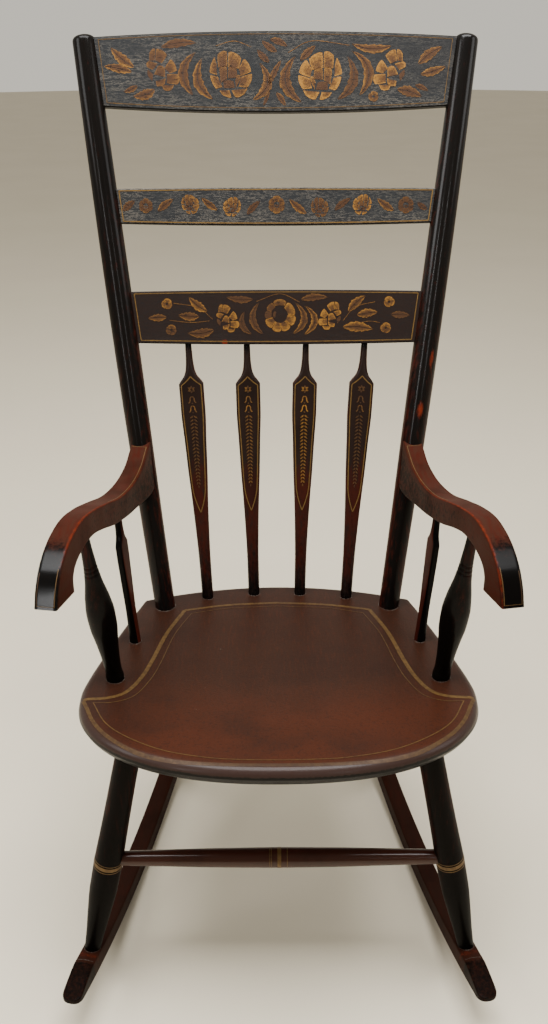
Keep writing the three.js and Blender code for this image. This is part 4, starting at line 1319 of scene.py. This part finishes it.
class Arrow:
    """An arrow spindle: a round neck and foot with a flat blade between. Its section is a
    superellipse whose exponent, half width and half thickness follow tables along it."""

    # Angles round a section, none of them on its corners
    angles = turns(48)[None, :] + np.pi / 48

    def __init__(self, head, foot, facing, sizes_mm):
        """The sizes are the shoulder's share of the length, and then half the blade's width and
        thickness and the radii of the neck and the foot, in millimetres."""
        shoulder, half_width, half_thickness, neck, round_foot = sizes_mm
        self.head = head
        self.length = np.linalg.norm(foot - head)
        self.axes = axes(head, foot, facing)
        self.shoulder = shoulder
        self.half_width = half_width * MM
        self.half_thickness = half_thickness * MM
        self.neck = neck * MM
        self.foot = round_foot * MM
        tuck = TUCK / self.length
        self.shares = np.concatenate([np.linspace(-tuck, 0.3, 70), np.linspace(0.31, 1 + tuck, 60)])
        # Its wear goes by the count of rings, which are closest on the neck
        self.worn = np.linspace(0, 1, len(self.shares))[:, None]

    def section(self, share):
        """Half width, half thickness and exponent at a share of the length."""
        neck_at = np.clip(share / self.shoulder, 0, 1)
        blade_at = np.clip((share - self.shoulder) / (1 - self.shoulder), 0, 1)
        on_neck = share < self.shoulder
        extra = np.where(on_neck, smooth(NECK_WIDTHS, neck_at), smooth(BLADE_WIDTHS, blade_at))
        flat = np.where(on_neck, smooth(NECK_FLATNESS, neck_at), smooth(BLADE_FLATNESS, blade_at))
        plain = self.neck + (self.foot - self.neck) * np.clip(share, 0, 1)
        wide = plain + (self.half_width - plain) * extra
        thick = plain + (self.half_thickness - plain) * flat
        return wide, thick, 1 - 0.68 * flat

    def rings(self):
        """Sections at the shares: each half size times a signed power of the cosine or sine."""
        wide, thick, power = (column[:, None] for column in self.section(self.shares))
        cosine, sine = np.cos(self.angles), np.sin(self.angles)
        x = wide * np.sign(cosine) * np.abs(cosine) ** power
        out = thick * np.sign(sine) * np.abs(sine) ** power
        along = np.broadcast_to(self.shares[:, None] * self.length, x.shape)
        return np.stack([x, along, out], -1) @ self.axes + self.head

    def bare(self):
        """Where the red shows: low on the spindle, and along both edges of the blade."""
        edge = np.abs(np.cos(self.angles)) ** 3
        low = ((0, 0.3), (0.1, 0), (0.58, 0.1), (0.72, 1), (0.9, 0.7), (1, 0.3))
        return np.maximum(smooth(low, self.worn), 0.9 * edge)

    def soot(self):
        """Where it is black: on the neck, and more and more towards the foot."""
        black = ((0, 1), (0.12, 0.2), (0.55, 0), (0.7, 0.3), (0.9, 0.4), (1, 0.7))
        return smooth(black, self.worn)

    def face(self, patch, lift):
        """Points on the front of the blade: out = thickness (1 - |x/width|^(2/p))^(p/2)."""
        x, share = patch[..., 0], patch[..., 1] / self.length
        wide, thick, power = self.section(share)
        inside = np.maximum(1 - np.abs(x / wide) ** (2 / power), 0)
        out = thick * inside ** (power / 2) + lift
        return np.stack([x, patch[..., 1], out], -1) @ self.axes + self.head


def lower_slat_underside(sizes, x):
    """Point in the middle of the lower slat's bottom edge, at a place across."""
    place = SlatPlace(sizes, "lower_slat")
    y = place.bow * place.bow_share(x)
    return place.place(np.array(x), np.array(y), np.array(place.bottom(x)))


def back_spindles(sizes):
    """The four arrow spindles of the back, from left to right."""
    shape = (0.147, sizes.spindle_half_width / MM, 5, 4.3, SPINDLE_ROUND)
    rows = [(-1, row) for row in SPINDLES] + [(1, row) for row in SPINDLES[::-1]]
    for side, (head_x, foot_x, back) in rows:
        head = lower_slat_underside(sizes, side * head_x * MM)
        yield Arrow(head, on_seat(sizes, side, (foot_x, back)), FORWARDS, shape)


class BackSpindles(Operator):
    """Makes the four arrow spindles of the back as superellipses carried along their axes"""

    bl_idname = "chair.back_spindles"
    bl_label = "Back spindles"

    def execute(self, context):
        sizes = prepare(context)
        for i, arrow in enumerate(back_spindles(sizes), 1):
            body = Body().loft(arrow.rings(), bare=arrow.bare(), soot=arrow.soot(), gloss=0.25)
            replaced = f"back_spindle_{i}"
            make_piece(f"arrow_spindle_{i}", body, SPINDLE_PAINT, replaced, 50)
        return {"FINISHED"}


class SpindleStencils(Operator):
    """Lays a striped outline on each back spindle, gabled above and pointed below, and inside it
    a star flower, two bells and an ear of chevrons that narrows downwards"""

    bl_idname = "chair.spindle_stencils"
    bl_label = "Spindle stencils"

    def execute(self, context):
        sizes = prepare(context)
        outlines = Film(sizes.film)
        strengths = zip(back_spindles(sizes), (0.45, 0.58, 0.85, 0.4))
        for i, (arrow, strength) in enumerate(strengths, 1):
            film = Film(sizes.film)
            self.outline(outlines, arrow)
            self.ear(film, arrow, strength)
            make_piece(f"spindle_stencil_{i}", film, BRONZE)
        make_piece("spindle_outlines", outlines, STRIPING)
        return {"FINISHED"}

    def outline(self, film, arrow):
        """A line inside the blade's edges, joined above by a gable and below by a point."""
        reach = arrow.length
        share = np.linspace(0.157, 0.54, 36)
        edge = arrow.section(share)[0] - 3.4 * MM
        gable = np.array([(0, 0.119), (0.22, 0.128), (0.6, 0.141), (1, 0.152)]) * [edge[0], reach]
        at = np.linspace(0, 1, 14)[1:]
        # The point closes in like a pointed arch
        tip = np.stack([edge[-1] * (1 - at**1.7), (0.54 + 0.105 * at) * reach], 1)
        for side in (-1, 1):
            path = np.concatenate([gable, np.stack([edge, share * reach], 1), tip])
            patch = ribbon(path * [side, 1], 1.3 * MM, 2 * MM)
            film.lay(arrow.face, patch, shade=1)

    def ear(self, film, arrow, strength):
        """A star of six strokes, two bells, and twenty chevrons that get shorter downwards."""
        reach = arrow.length
        top = 0.167 * reach
        for k in range(6):
            turn = math.radians(90 + 60 * k)
            way = np.array([math.cos(turn), -math.sin(turn)])
            ends = [np.array([0, top]) + way * out * MM for out in (1.2, 5.6)]
            self.strokes(film, arrow, *ends, 2.6, strength * (1 if k % 3 else 0.5))
        # Each bell is a hood whose two sides flare out at the foot, over a clapper
        hood = np.array([(0.3, -4.3), (1.7, -3.7), (2.7, -1.8), (2.9, 0.8), (3.6, 3), (5.2, 4.6)])
        for share, bright in ((0.206, 0.75), (0.241, 1)):
            at = share * reach
            for side in (-1, 1):
                path = through(hood * [side * MM, MM], 31) + [0, at]
                film.lay(arrow.face, ribbon(path, 1.5 * MM, MM), shade=bright * strength)
            ends = (0, at + 4.4 * MM), (0, at + 6.2 * MM)
            self.strokes(film, arrow, *ends, 1.8, 0.7 * strength)
        for share in np.linspace(0.272, 0.53, 20):
            at = share * reach
            spread = np.interp(share, (0.27, 0.4, 0.532), (5.6, 5.1, 2.8)) * MM
            for side in (-1, 1):
                ends = (side * 0.3 * MM, at - 2 * MM), (side * spread, at + 2.2 * MM)
                self.strokes(film, arrow, *ends, 1.7, strength)
        self.strokes(film, arrow, (0, 0.537 * reach), (0, 0.55 * reach), 1.6, 0.6 * strength)

    def strokes(self, film, arrow, base, tip, width, strength):
        """A short brush stroke in two halves, like a small leaf."""
        for patch, light in leaf_halves(base, tip, width * MM, 0, lobes=1):
            film.lay(arrow.face, patch, shade=strength * (0.6 + 0.4 * light))


class ArmShape:
    """One arm: a board whose top and underside follow curves through tables, in a vertical plane
    that runs from the back post forwards and outwards."""

    # Reach and height of the board, and its lowest point above the seat's front edge
    size = np.array([397, 99]) * MM
    above_seat = 143 * MM
    # Near the post the board leans outwards with it, as a slope that fades out over a reach
    lean = 0.12
    lean_reach = 110 * MM

    def __init__(self, sizes, side):
        self.sizes = sizes
        self.side = side
        reach, height = self.size
        lowest = sizes.seat_height + self.above_seat
        # It starts a little inside the post's axis
        at, _, _ = post_at(sizes, side, lowest + height / 2)
        self.start = np.array([at[0] - side * 2.5 * MM, at[1], lowest])
        # It runs out to below the post's head
        swing = side * POST_HEAD[0] * MM - self.start[0]
        self.forward = unit(np.array([swing, -math.sqrt(reach**2 - swing**2), 0]))
        self.across = np.cross(self.forward, UP)
        self.top, self.under = (
            through(np.array(table) * self.size, 140) for table in (ARM_TOP, ARM_UNDERSIDE)
        )
        self.inwards = self.across * side

    def place(self, reach, across, height):
        """Points at a reach forwards, a distance across and a height over the arm's lowest
        point. The lean fades out as half a cosine wave."""
        hold = 0.5 + 0.5 * np.cos(np.pi * np.clip(reach / self.lean_reach, 0, 1))
        across = across - self.side * self.lean * (height - 50 * MM) * hold
        out = reach[..., None] * self.forward + across[..., None] * self.across
        return self.start + out + height[..., None] * UP

    def underside_at(self, reach):
        """Height of the underside above the arm's lowest point at a reach."""
        rear = self.under[: int(0.75 * len(self.under))]
        return float(np.interp(reach, rear[:, 0], rear[:, 1]))

    def rings(self):
        """Sections from the underside's point to the top's point at the same parameter."""
        middle = (self.top + self.under) / 2
        lift = (self.top - self.under) / 2
        half = np.linalg.norm(lift, axis=1)
        thick = np.full(len(half), self.sizes.arm_thickness / 2)
        high, wide, _ = corner_section(half, thick, 2.2 * MM, 9)
        direction = lift / half[:, None]
        reach = middle[:, :1] + high * direction[:, :1]
        height = middle[:, 1:] + high * direction[:, 1:]
        inner = self.sizes.arm_thickness / 2 - wide * self.side
        above = half[:, None] - high
        return self.place(reach, wide, height), self.wear(inner, above)

    def wear(self, inner, above):
        """Rubbing along the inner ridge, as a bell over the distance to it, black left on the
        front of the top and outer faces, and black specks on the inner face."""
        share = np.linspace(0, 1, len(inner))[:, None]
        tip = (0.7, 0.2) if self.side < 0 else (0.95, 0.85)
        ridge = ((0, 0.6), (0.12, 0.6), (0.3, 0.85), (0.7, 0.95), (0.85, tip[0]), (1, tip[1]))
        rub = 0.78 * smooth(ridge, share) * bell(inner, 5 * MM) * bell(above, 5 * MM)
        outer = self.sizes.arm_thickness - inner
        reached = np.exp(-np.maximum(0, np.minimum(above, outer)) / (3 * MM))
        front = ((0, 0), (0.62, 0.1), (0.78, 0.75), (1, 1))
        soot = smooth(front, share) * (0.25 + 0.75 * reached)
        specks = np.interp(share, (0.1, 0.3, 0.5, 0.7, 0.9), (0.54, 0.52, 0.45, 0.4, 0.3))
        specks = specks * (inner < MM) * (1 - np.exp(-above / (5 * MM)))
        shine = 0.6 if self.side < 0 else 0.2
        return {"rub": rub, "soot": soot, "specks": specks, "gloss": 0.01 + shine * soot**4}

    def top_surface(self, patch, lift):
        """Points on the top face: share along it, and distance across from the middle."""
        share, across = patch[..., 0], patch[..., 1]
        at = np.linspace(0, 1, len(self.top))
        run = unit(np.gradient(self.top, axis=0))
        reach = np.interp(share, at, self.top[:, 0]) - lift * np.interp(share, at, run[:, 1])
        height = np.interp(share, at, self.top[:, 1]) + lift * np.interp(share, at, run[:, 0])
        return self.place(reach, across, height)

    def stand(self, place):
        """Head on the arm's underside and foot on the seat of what holds the arm up."""
        reach = place[0] * MM
        head = self.start + self.forward * reach + UP * self.underside_at(reach)
        return head, on_seat(self.sizes, self.side, place[1:])


class Arms(Operator):
    """Makes the scrolled arms: rounded rectangles carried from the back post to the tip, between
    two Catmull-Rom curves for the top and the underside"""

    bl_idname = "chair.arms"
    bl_label = "Arms"

    def execute(self, context):
        sizes = prepare(context)
        for name, side in SIDES.items():
            shape = ArmShape(sizes, side)
            rings, wear = shape.rings()
            body = Body().loft(rings, bare=0.6, **wear)
            make_piece(f"{name}_scrolled_arm", body, ARM_PAINT, f"{name}_arm", 45)
            film = Film(sizes.film)
            edge = side * (sizes.arm_thickness / 2 - 2.8 * MM)
            # Shares of the top at which the striping turns across it
            rear, tip = 0.055, 0.985
            runs = (rear, 0.4, edge, 0.6), (0.82, tip, edge, 0.55), (0.84, tip, -edge, 0.3)
            for first, last, across, shade in runs:
                share = np.linspace(first, last, 60)[:, None]
                patch = spread_out(share, across + 0.9 * MM * STRIP[None, :])
                film.lay(shape.top_surface, patch, shade=shade)
            for middle in (rear, tip):
                strip = np.linspace(-edge, edge, 9)[:, None]
                patch = spread_out(middle + 0.0022 * STRIP[None, :], strip)
                film.lay(shape.top_surface, patch, shade=0.55)
            make_piece(f"{name}_arm_striping", film, STRIPING)
        return {"FINISHED"}


class Turning:
    """A turned piece: circles along a straight axis, whose radius follows a table of shares."""

    def __init__(self, head, foot, facing, table, radius):
        self.head = head
        self.reach = np.linalg.norm(foot - head)
        self.axes = axes(head, foot, facing)
        self.table = table
        self.radius = radius

    def place(self, turn, along, radii):
        """Points at a turn round the axis, a distance along it and a radius."""
        parts = np.broadcast_arrays(radii * np.cos(turn), along, radii * np.sin(turn))
        return np.stack(parts, -1) @ self.axes + self.head

    def surface(self, patch, lift):
        """Points at a turn round the axis and a distance along it, lifted off the piece."""
        turn, along = patch[..., 0], patch[..., 1]
        return self.place(turn, along, self.radius * smooth(self.table, along / self.reach) + lift)

    def body(self, *, rings=110, grooves=(), gloss=0.04, soot=0.7):
        """The piece itself. Each groove takes a bell-shaped dip of half a millimetre out of it."""
        tuck = TUCK / self.reach
        share = np.linspace(-tuck, 1 + tuck, rings)[:, None]
        radii = self.radius * smooth(self.table, share)
        for at in grooves:
            radii = radii - GROOVE_DEPTH * bell((share - at) * self.reach, GROOVE_REACH)
        turn = turns(40)[None, :]
        bare = 0.1 + 0.5 * np.abs(np.cos(turn)) ** 2
        # Black and painted shade, growing towards the foot
        soot = soot * smooth(((0, 0.3), (0.5, 0.8), (1, 1.2)), share)
        rings = self.place(turn, share * self.reach, radii)
        return Body().loft(rings, bare=bare, soot=soot, gloss=gloss)

    def bands(self, lift, rows):
        """Painted rings round the piece: films wound once round it as closed patches."""
        film = Film(lift)
        turn = np.linspace(0, 2 * np.pi, 61)[:, None]
        for share, offset, width in rows:
            at = share * self.reach + (offset + STRIP * width) * MM
            film.lay(self.surface, spread_out(turn, at[None, :]), shade=0.7)
        return film


class ArmStands(Operator):
    """Makes what holds the arms up: a turned post, with scored rings near its head, and an arrow
    spindle whose flat face looks inwards"""

    bl_idname = "chair.arm_stands"
    bl_label = "Arm posts and spindles"
    post_radius = 17.6 * MM
    # Shares of the post's length at which its rings are scored
    grooves = (0.2, 0.226, 0.252)
    spindle = (0.21, 14, 4.8, 4.9, ARM_SPINDLE_ROUND)

    def execute(self, context):
        sizes = prepare(context)
        for name, side in SIDES.items():
            shape = ArmShape(sizes, side)
            ends = shape.stand(ARM_POST)
            post = Turning(*ends, shape.inwards, ARM_POST_RADII, self.post_radius)
            # Its black is darkened as painted shade
            body = post.body(rings=360, grooves=self.grooves, gloss=0.15, soot=0.85)
            replaced = f"{name}_arm_post"
            make_piece(f"{name}_turned_arm_post", body, BLACK_PAINT, replaced)
            arrow = Arrow(*shape.stand(ARM_SPINDLE), shape.inwards, self.spindle)
            # Only its flat inner face is brown: red undercoat painted there partly as the highlight
            # that face catches. The rest is black, darkened as painted shade
            inner = np.clip(6 * (np.sin(arrow.angles) - 0.6), 0, 1)
            body = Body().loft(arrow.rings(), bare=inner, soot=1.1 * (1 - inner), gloss=0.08)
            replaced = f"{name}_arm_spindle"
            make_piece(f"{name}_arm_arrow", body, BLACK_PAINT, replaced, 50)
        return {"FINISHED"}


class RockerShape:
    """One rocker: a bar on a circle's arc, flat where it meets the floor, with a sloping nose
    and a rounded tail."""

    # Turn outwards to the front as a slope, where the flat meets the floor, and the flat's length
    toe = 0.18
    contact = 294 * MM
    flat = 36 * MM
    # Reach to the front and to the back of the contact, and half the spread at the front feet
    front = 330 * MM
    back = 445 * MM
    front_spread = 245 * MM
    # Lengths of the nose's slope and of the tail's round
    nose = 50 * MM
    tail = 45 * MM
    front_foot = LEGS["front"][2] * MM

    def __init__(self, sizes):
        self.sizes = sizes

    def underside(self, along):
        """Rise of the circle less its rise at the end of the flat, and nought on the flat."""
        radius = self.sizes.rocker_radius
        beyond = np.maximum(np.abs(along), self.flat / 2)
        level = math.sqrt(radius**2 - (self.flat / 2) ** 2)
        return level - np.sqrt(radius**2 - beyond**2)

    def half_spread(self, back):
        """Half the distance between the rockers, which falls evenly towards the back."""
        return self.front_spread - (back - self.front_foot) * self.toe

    def place(self, side, across, along, height):
        """Turns the bar outwards to the front by its toe, and puts it on the floor."""
        toe = side * math.atan(self.toe)
        x = side * self.half_spread(self.contact) + across * math.cos(toe) - along * math.sin(toe)
        y = self.contact + across * math.sin(toe) + along * math.cos(toe)
        return np.stack([x, y, height], -1)

    def along_at(self, back):
        """Place along the bar, from its contact, at a distance back."""
        return (back - self.contact) / math.cos(math.atan(self.toe))

    def top_at(self, back):
        """Height of the rocker's top at a distance back."""
        return self.underside(self.along_at(back)) + self.sizes.rocker_depth

    def section(self, along):
        """Depth and half width: the nose slopes, the tail rounds by a square root, and both
        narrow at the tip by a quarter of a superellipse."""
        depth = self.sizes.rocker_depth
        to_nose, to_tail = self.front + along, self.back - along
        slope = smooth(((0, 0), (0.75, 0.82), (1, 1)), to_nose / self.nose)
        nose = 7 * MM + (depth - 7 * MM) * slope
        tail = 9 * MM + (depth - 9 * MM) * np.sqrt(np.clip(to_tail / self.tail, 0, 1))
        widest = self.sizes.rocker_width / 2
        near = np.clip(np.minimum(to_nose, to_tail) / widest, 0, 1)
        half = 2.5 * MM + (widest - 2.5 * MM) * (1 - (1 - near) ** 2.4) ** (1 / 2.4)
        return np.minimum(nose, tail), half


class Rockers(Operator):
    """Makes the rockers: rounded rectangles carried along a circle's arc, and a light line
    scratched across the top before the nose"""

    bl_idname = "chair.rockers"
    bl_label = "Rockers"

    def execute(self, context):
        sizes = prepare(context)
        shape = RockerShape(sizes)
        ends = 1 - np.cos(np.linspace(0, np.pi / 2, 16))
        nose = -shape.front + shape.nose * ends
        tail = shape.back - shape.tail * ends[::-1]
        bar = np.linspace(nose[-1] + 2 * MM, tail[0] - 2 * MM, 130)
        along = np.concatenate([nose, bar, tail])
        depth, half = shape.section(along)
        high, wide, corner = corner_section(depth / 2, half, 2 * MM, 4)
        height = (shape.underside(along) + depth / 2)[:, None] + high
        for name, side in SIDES.items():
            rings = shape.place(side, wide, np.broadcast_to(along[:, None], wide.shape), height)
            toe = np.interp(along, (-278 * MM, -272 * MM), (0.6, 0.1))[:, None]
            # Rubbed between the scratched line and the leg
            foot = bell(along + 262 * MM, 9 * MM)[:, None] * (high > 0)
            rub = np.maximum(0.3 * corner, 0.6 * foot)
            body = Body().loft(rings, rub=rub, bare=0.4, soot=toe, gloss=0.03)
            replaced = f"{name}_rocker"
            make_piece(f"{name}_bent_rocker", body, ROCKER_PAINT, replaced, 45)
            film = self.dust(Film(sizes.film), shape, side)
            make_piece(f"{name}_rocker_dust", film, DUST)
        return {"FINISHED"}

    def dust(self, film, shape, side):
        """A light line across the top where the nose begins, and a ring round the leg's foot."""
        leg = shape.along_at(shape.front_foot)

        def top(patch, lift):
            """Points on the bar's top, at places across and along it."""
            along = patch[..., 1]
            depth, _ = shape.section(along)
            return shape.place(side, patch[..., 0], along, shape.underside(along) + depth + lift)

        across = np.linspace(-10.5, 10.5, 15)[:, None] * MM
        curve = leg - 27 * MM + 1.2 * MM * np.cos(across / (6 * MM)) + STRIP[None, :] * MM
        film.lay(top, spread_out(across, curve))
        turn = np.linspace(np.pi, 2 * np.pi, 31)[:, None]
        out = np.array([[10.6, 11.1, 11.6]]) * MM
        film.lay(top, np.stack([out * np.cos(turn), leg + out * np.sin(turn)], -1))
        return film


def leg_ends(sizes, end, side):
    """Head under the seat and foot on the rocker of a leg."""
    rocker = RockerShape(sizes)
    head_x, head_back, foot_back = np.array(LEGS[end]) * MM
    under = seat_top_at(sizes, head_back) - sizes.seat_thickness / math.cos(sizes.seat_tilt)
    head = np.array([side * head_x, head_back, under])
    foot_x = side * rocker.half_spread(foot_back)
    foot = np.array([foot_x, foot_back, float(rocker.top_at(foot_back))])
    return head, foot


class Legs(Operator):
    """Makes the four turned legs, with a broad gold ring between two fine ones at the height of
    the stretchers"""

    bl_idname = "chair.legs"
    bl_label = "Legs"

    def execute(self, context):
        sizes = prepare(context)
        rings = ((0.52, 0, 5), (0.52, -5.2, 0.9), (0.52, 5.2, 0.9))
        for end in LEGS:
            for name, side in SIDES.items():
                leg = Turning(*leg_ends(sizes, end, side), FORWARDS, LEG_RADII, sizes.leg_radius)
                # The legs stand under the seat, and their black is darkened there as painted shade
                body = leg.body()
                replaced = f"{end}_{name}_leg"
                make_piece(f"{end}_{name}_turned_leg", body, BLACK_PAINT, replaced)
                film = leg.bands(sizes.film, rings)
                make_piece(f"{end}_{name}_leg_rings", film, STRIPING)
        return {"FINISHED"}


class Stretchers(Operator):
    """Makes the turned stretchers between the legs of each pair, with gold rings at the middle"""

    bl_idname = "chair.stretchers"
    bl_label = "Stretchers"

    def execute(self, context):
        sizes = prepare(context)
        rings = ((0.5, 0, 4.8), (0.5, -10, 0.9), (0.5, -12, 0.6), (0.5, 10, 0.9))
        for end in LEGS:
            legs = (leg_ends(sizes, end, side) for side in SIDES.values())
            left, right = (head + STRETCHER_SHARE * (foot - head) for head, foot in legs)
            inset = sizes.leg_radius * float(smooth(LEG_RADII, STRETCHER_SHARE)) - 2 * MM
            run = unit(right - left) * inset
            ends = left + run, right - run
            stretcher = Turning(*ends, FORWARDS, STRETCHER_RADII, sizes.stretcher_radius)
            body = stretcher.body(gloss=0.5, soot=0)
            replaced = f"{end}_stretcher"
            make_piece(f"{end}_turned_stretcher", body, STRETCHER_PAINT, replaced)
            film = stretcher.bands(sizes.film, rings)
            make_piece(f"{end}_stretcher_rings", film, STRIPING)
        return {"FINISHED"}


class Pins(Operator):
    """Makes the pegs that show behind the back posts: the dowel of each arm, level in the arm's
    plane, and the pin of the crest rail, square to the post. Each is a short turned plug"""

    bl_idname = "chair.pins"
    bl_label = "Pins and dowels"
    dowel_radius = 5 * MM
    pin_radius = 2.6 * MM
    plug_length = 12 * MM
    # How far a peg's end stands out of the post
    proud = 0.1 * MM

    def execute(self, context):
        sizes = prepare(context)
        for name, side in SIDES.items():
            shape = ArmShape(sizes, side)
            at, _, radius = post_at(sizes, side, shape.start[2] + 40 * MM)
            rear = at - shape.forward * (radius + self.proud)
            self.peg(f"{name}_arm_dowel", rear, shape.forward, self.dowel_radius)
            crest = SlatPlace(sizes, "crest_rail")
            at, tangent, radius = post_at(sizes, side, crest.centre)
            square = unit(np.cross([1, 0, 0], tangent))
            square = square if square[1] < 0 else -square
            rear = at - square * (radius + self.proud)
            self.peg(f"{name}_crest_pin", rear, square, self.pin_radius)
        return {"FINISHED"}

    def peg(self, name, rear, inwards, radius):
        """A plug whose end stands at its rear point."""
        start = rear + inwards * TUCK
        plug = Turning(start, start + inwards * self.plug_length, UP, PLUG_RADII, radius)
        make_piece(f"{name}_plug", plug.body(rings=40), BLACK_PAINT, name)


class StudioStage(Operator):
    """Sets the stage: a wide pale floor, soft lights from above and both sides, and the camera"""

    bl_idname = "chair.studio_stage"
    bl_label = "Studio stage"

    def execute(self, context):
        settings = context.scene.chair_stage
        self.floor(context)
        self.camera(context, settings)
        self.world(context, settings.light)
        # Name, place, target, width, height and power
        lamps = (
            ("ceiling_light", (0, -0.35, 2.7), (0, 0.1, 0), 2.5, 1.2, 122),
            ("left_window_light", (-2.6, -0.9, 2.2), (0, 0, 0.6), 1.2, 1.2, 26),
            ("right_fill_light", (2.6, -0.6, 2.0), (0, 0, 0.6), 1.2, 1.2, 14),
            ("left_strip_light", (-1.75, -3.0, 1.7), (0, 0, 0.8), 0.08, 1.6, 13),
            ("right_strip_light", (1.1, -3.3, 1.8), (0, 0, 0.8), 0.08, 1.4, 6),
        )
        for name, place, target, width, height, power in lamps:
            lamp = bpy.data.lights.new(name, "AREA")
            lamp.shape = "RECTANGLE"
            lamp.size = width
            lamp.size_y = height
            lamp.energy = power * settings.light
            lamp_object = add_object(name, lamp)
            lamp_object.location = place
            aim = np.array(target) - np.array(place)
            level = math.hypot(aim[0], aim[1])
            turn = math.atan2(aim[1], aim[0]) - math.pi / 2
            lamp_object.rotation_euler = (math.atan2(level, -aim[2]), 0, turn)
        return {"FINISHED"}

    def floor(self, context):
        """A flat disc 14 m in radius, smooth and matt, mottled too faintly to show a pattern."""
        tree = new_material("matt_studio_floor")
        paint = context.scene.chair_paints.floor
        (mottle,) = patterns(tree, ((400, 400, 400), 3, 0.5))
        ground = lay_colours(tree, paint, ((mottle, 0, 1, 1, shaded(paint, 0.95)),))
        finish_material(tree, ground, (mottle, 0.6, 0.7), mottle, 0.0, {"IOR": 1.45})
        sides = 96
        ring = np.stack([np.cos(turns(sides)), np.sin(turns(sides)), np.zeros(sides)], 1)
        mesh = bpy.data.meshes.new("studio_floor")
        mesh.from_pydata((ring * 14).tolist(), [], [list(range(sides))])
        mesh.materials.append(bpy.data.materials["matt_studio_floor"])
        floor = add_object("studio_floor", mesh)

    def camera(self, context, settings):
        """The photograph's camera. Its focal length is 1000 pixels of a frame 1024 pixels high."""
        lens = bpy.data.cameras.new("photo_camera")
        sensor_mm, focal_pixels, frame_pixels = 36, 1000, 1024
        lens.sensor_fit = "AUTO"
        lens.sensor_width = sensor_mm
        lens.lens = sensor_mm * focal_pixels / frame_pixels
        camera = add_object("photo_camera", lens)
        camera.location = settings.camera_place
        pitch = math.pi / 2 - settings.camera_pitch
        camera.rotation_euler = (pitch, settings.camera_roll, -settings.camera_yaw)
        context.scene.camera = camera

    def world(self, context, light):
        """A sky paler behind the chair than in front of it, like a room with a light wall."""
        world = bpy.data.worlds.new("pale_studio")
        world.use_nodes = True
        world.node_tree.nodes.clear()
        tree = world.node_tree
        place = add_node(tree, "ShaderNodeTexCoord", take="Generated")
        back = add_node(tree, "ShaderNodeSeparateXYZ", {"Vector": place}, "Y")
        levels = {0: back, 1: -0.5, 2: 0.6, 3: 0.26 * light, 4: 0.98 * light}
        strength = add_node(tree, RANGE, levels, interpolation_type="SMOOTHSTEP")
        inputs = {"Color": linear("#dfdace"), "Strength": strength}
        sky = add_node(tree, "ShaderNodeBackground", inputs)
        add_node(tree, "ShaderNodeOutputWorld", {"Surface": sky})
        context.scene.world = world


OPERATORS = (
    PlankSeat, SeatStriping, BackPosts, Slats, Stencils, BackSpindles, SpindleStencils, Arms,
    ArmStands, Rockers, Legs, Stretchers, Pins, StudioStage,
)


class ChairPanel(Panel):
    """Lists the chair's pieces in the sidebar"""

    bl_idname = "VIEW3D_PT_rocking_chair"
    bl_label = "Rocking Chair"
    bl_space_type = "VIEW_3D"
    bl_region_type = "UI"
    bl_category = "Rocking Chair"

    def draw(self, context):
        for operator in OPERATORS:
            self.layout.operator(operator.bl_idname)


CLASSES = (ChairSizes, ChairPaints, StageSettings, *OPERATORS, ChairPanel)


def register():
    """Registers the classes, and hangs the properties on the scene."""
    for cls in CLASSES:
        bpy.utils.register_class(cls)
    bpy.types.Scene.chair_sizes = PointerProperty(type=ChairSizes)
    bpy.types.Scene.chair_paints = PointerProperty(type=ChairPaints)
    bpy.types.Scene.chair_stage = PointerProperty(type=StageSettings)


def unregister():
    """Undoes what register did, in reverse."""
    del bpy.types.Scene.chair_stage
    del bpy.types.Scene.chair_paints
    del bpy.types.Scene.chair_sizes
    for cls in reversed(CLASSES):
        bpy.utils.unregister_class(cls)


def main():
    """Makes every piece and the stage."""
    register()
    for operator in OPERATORS:
        getattr(bpy.ops.chair, operator.bl_idname.removeprefix("chair."))()


if __name__ == "__main__":
    main()
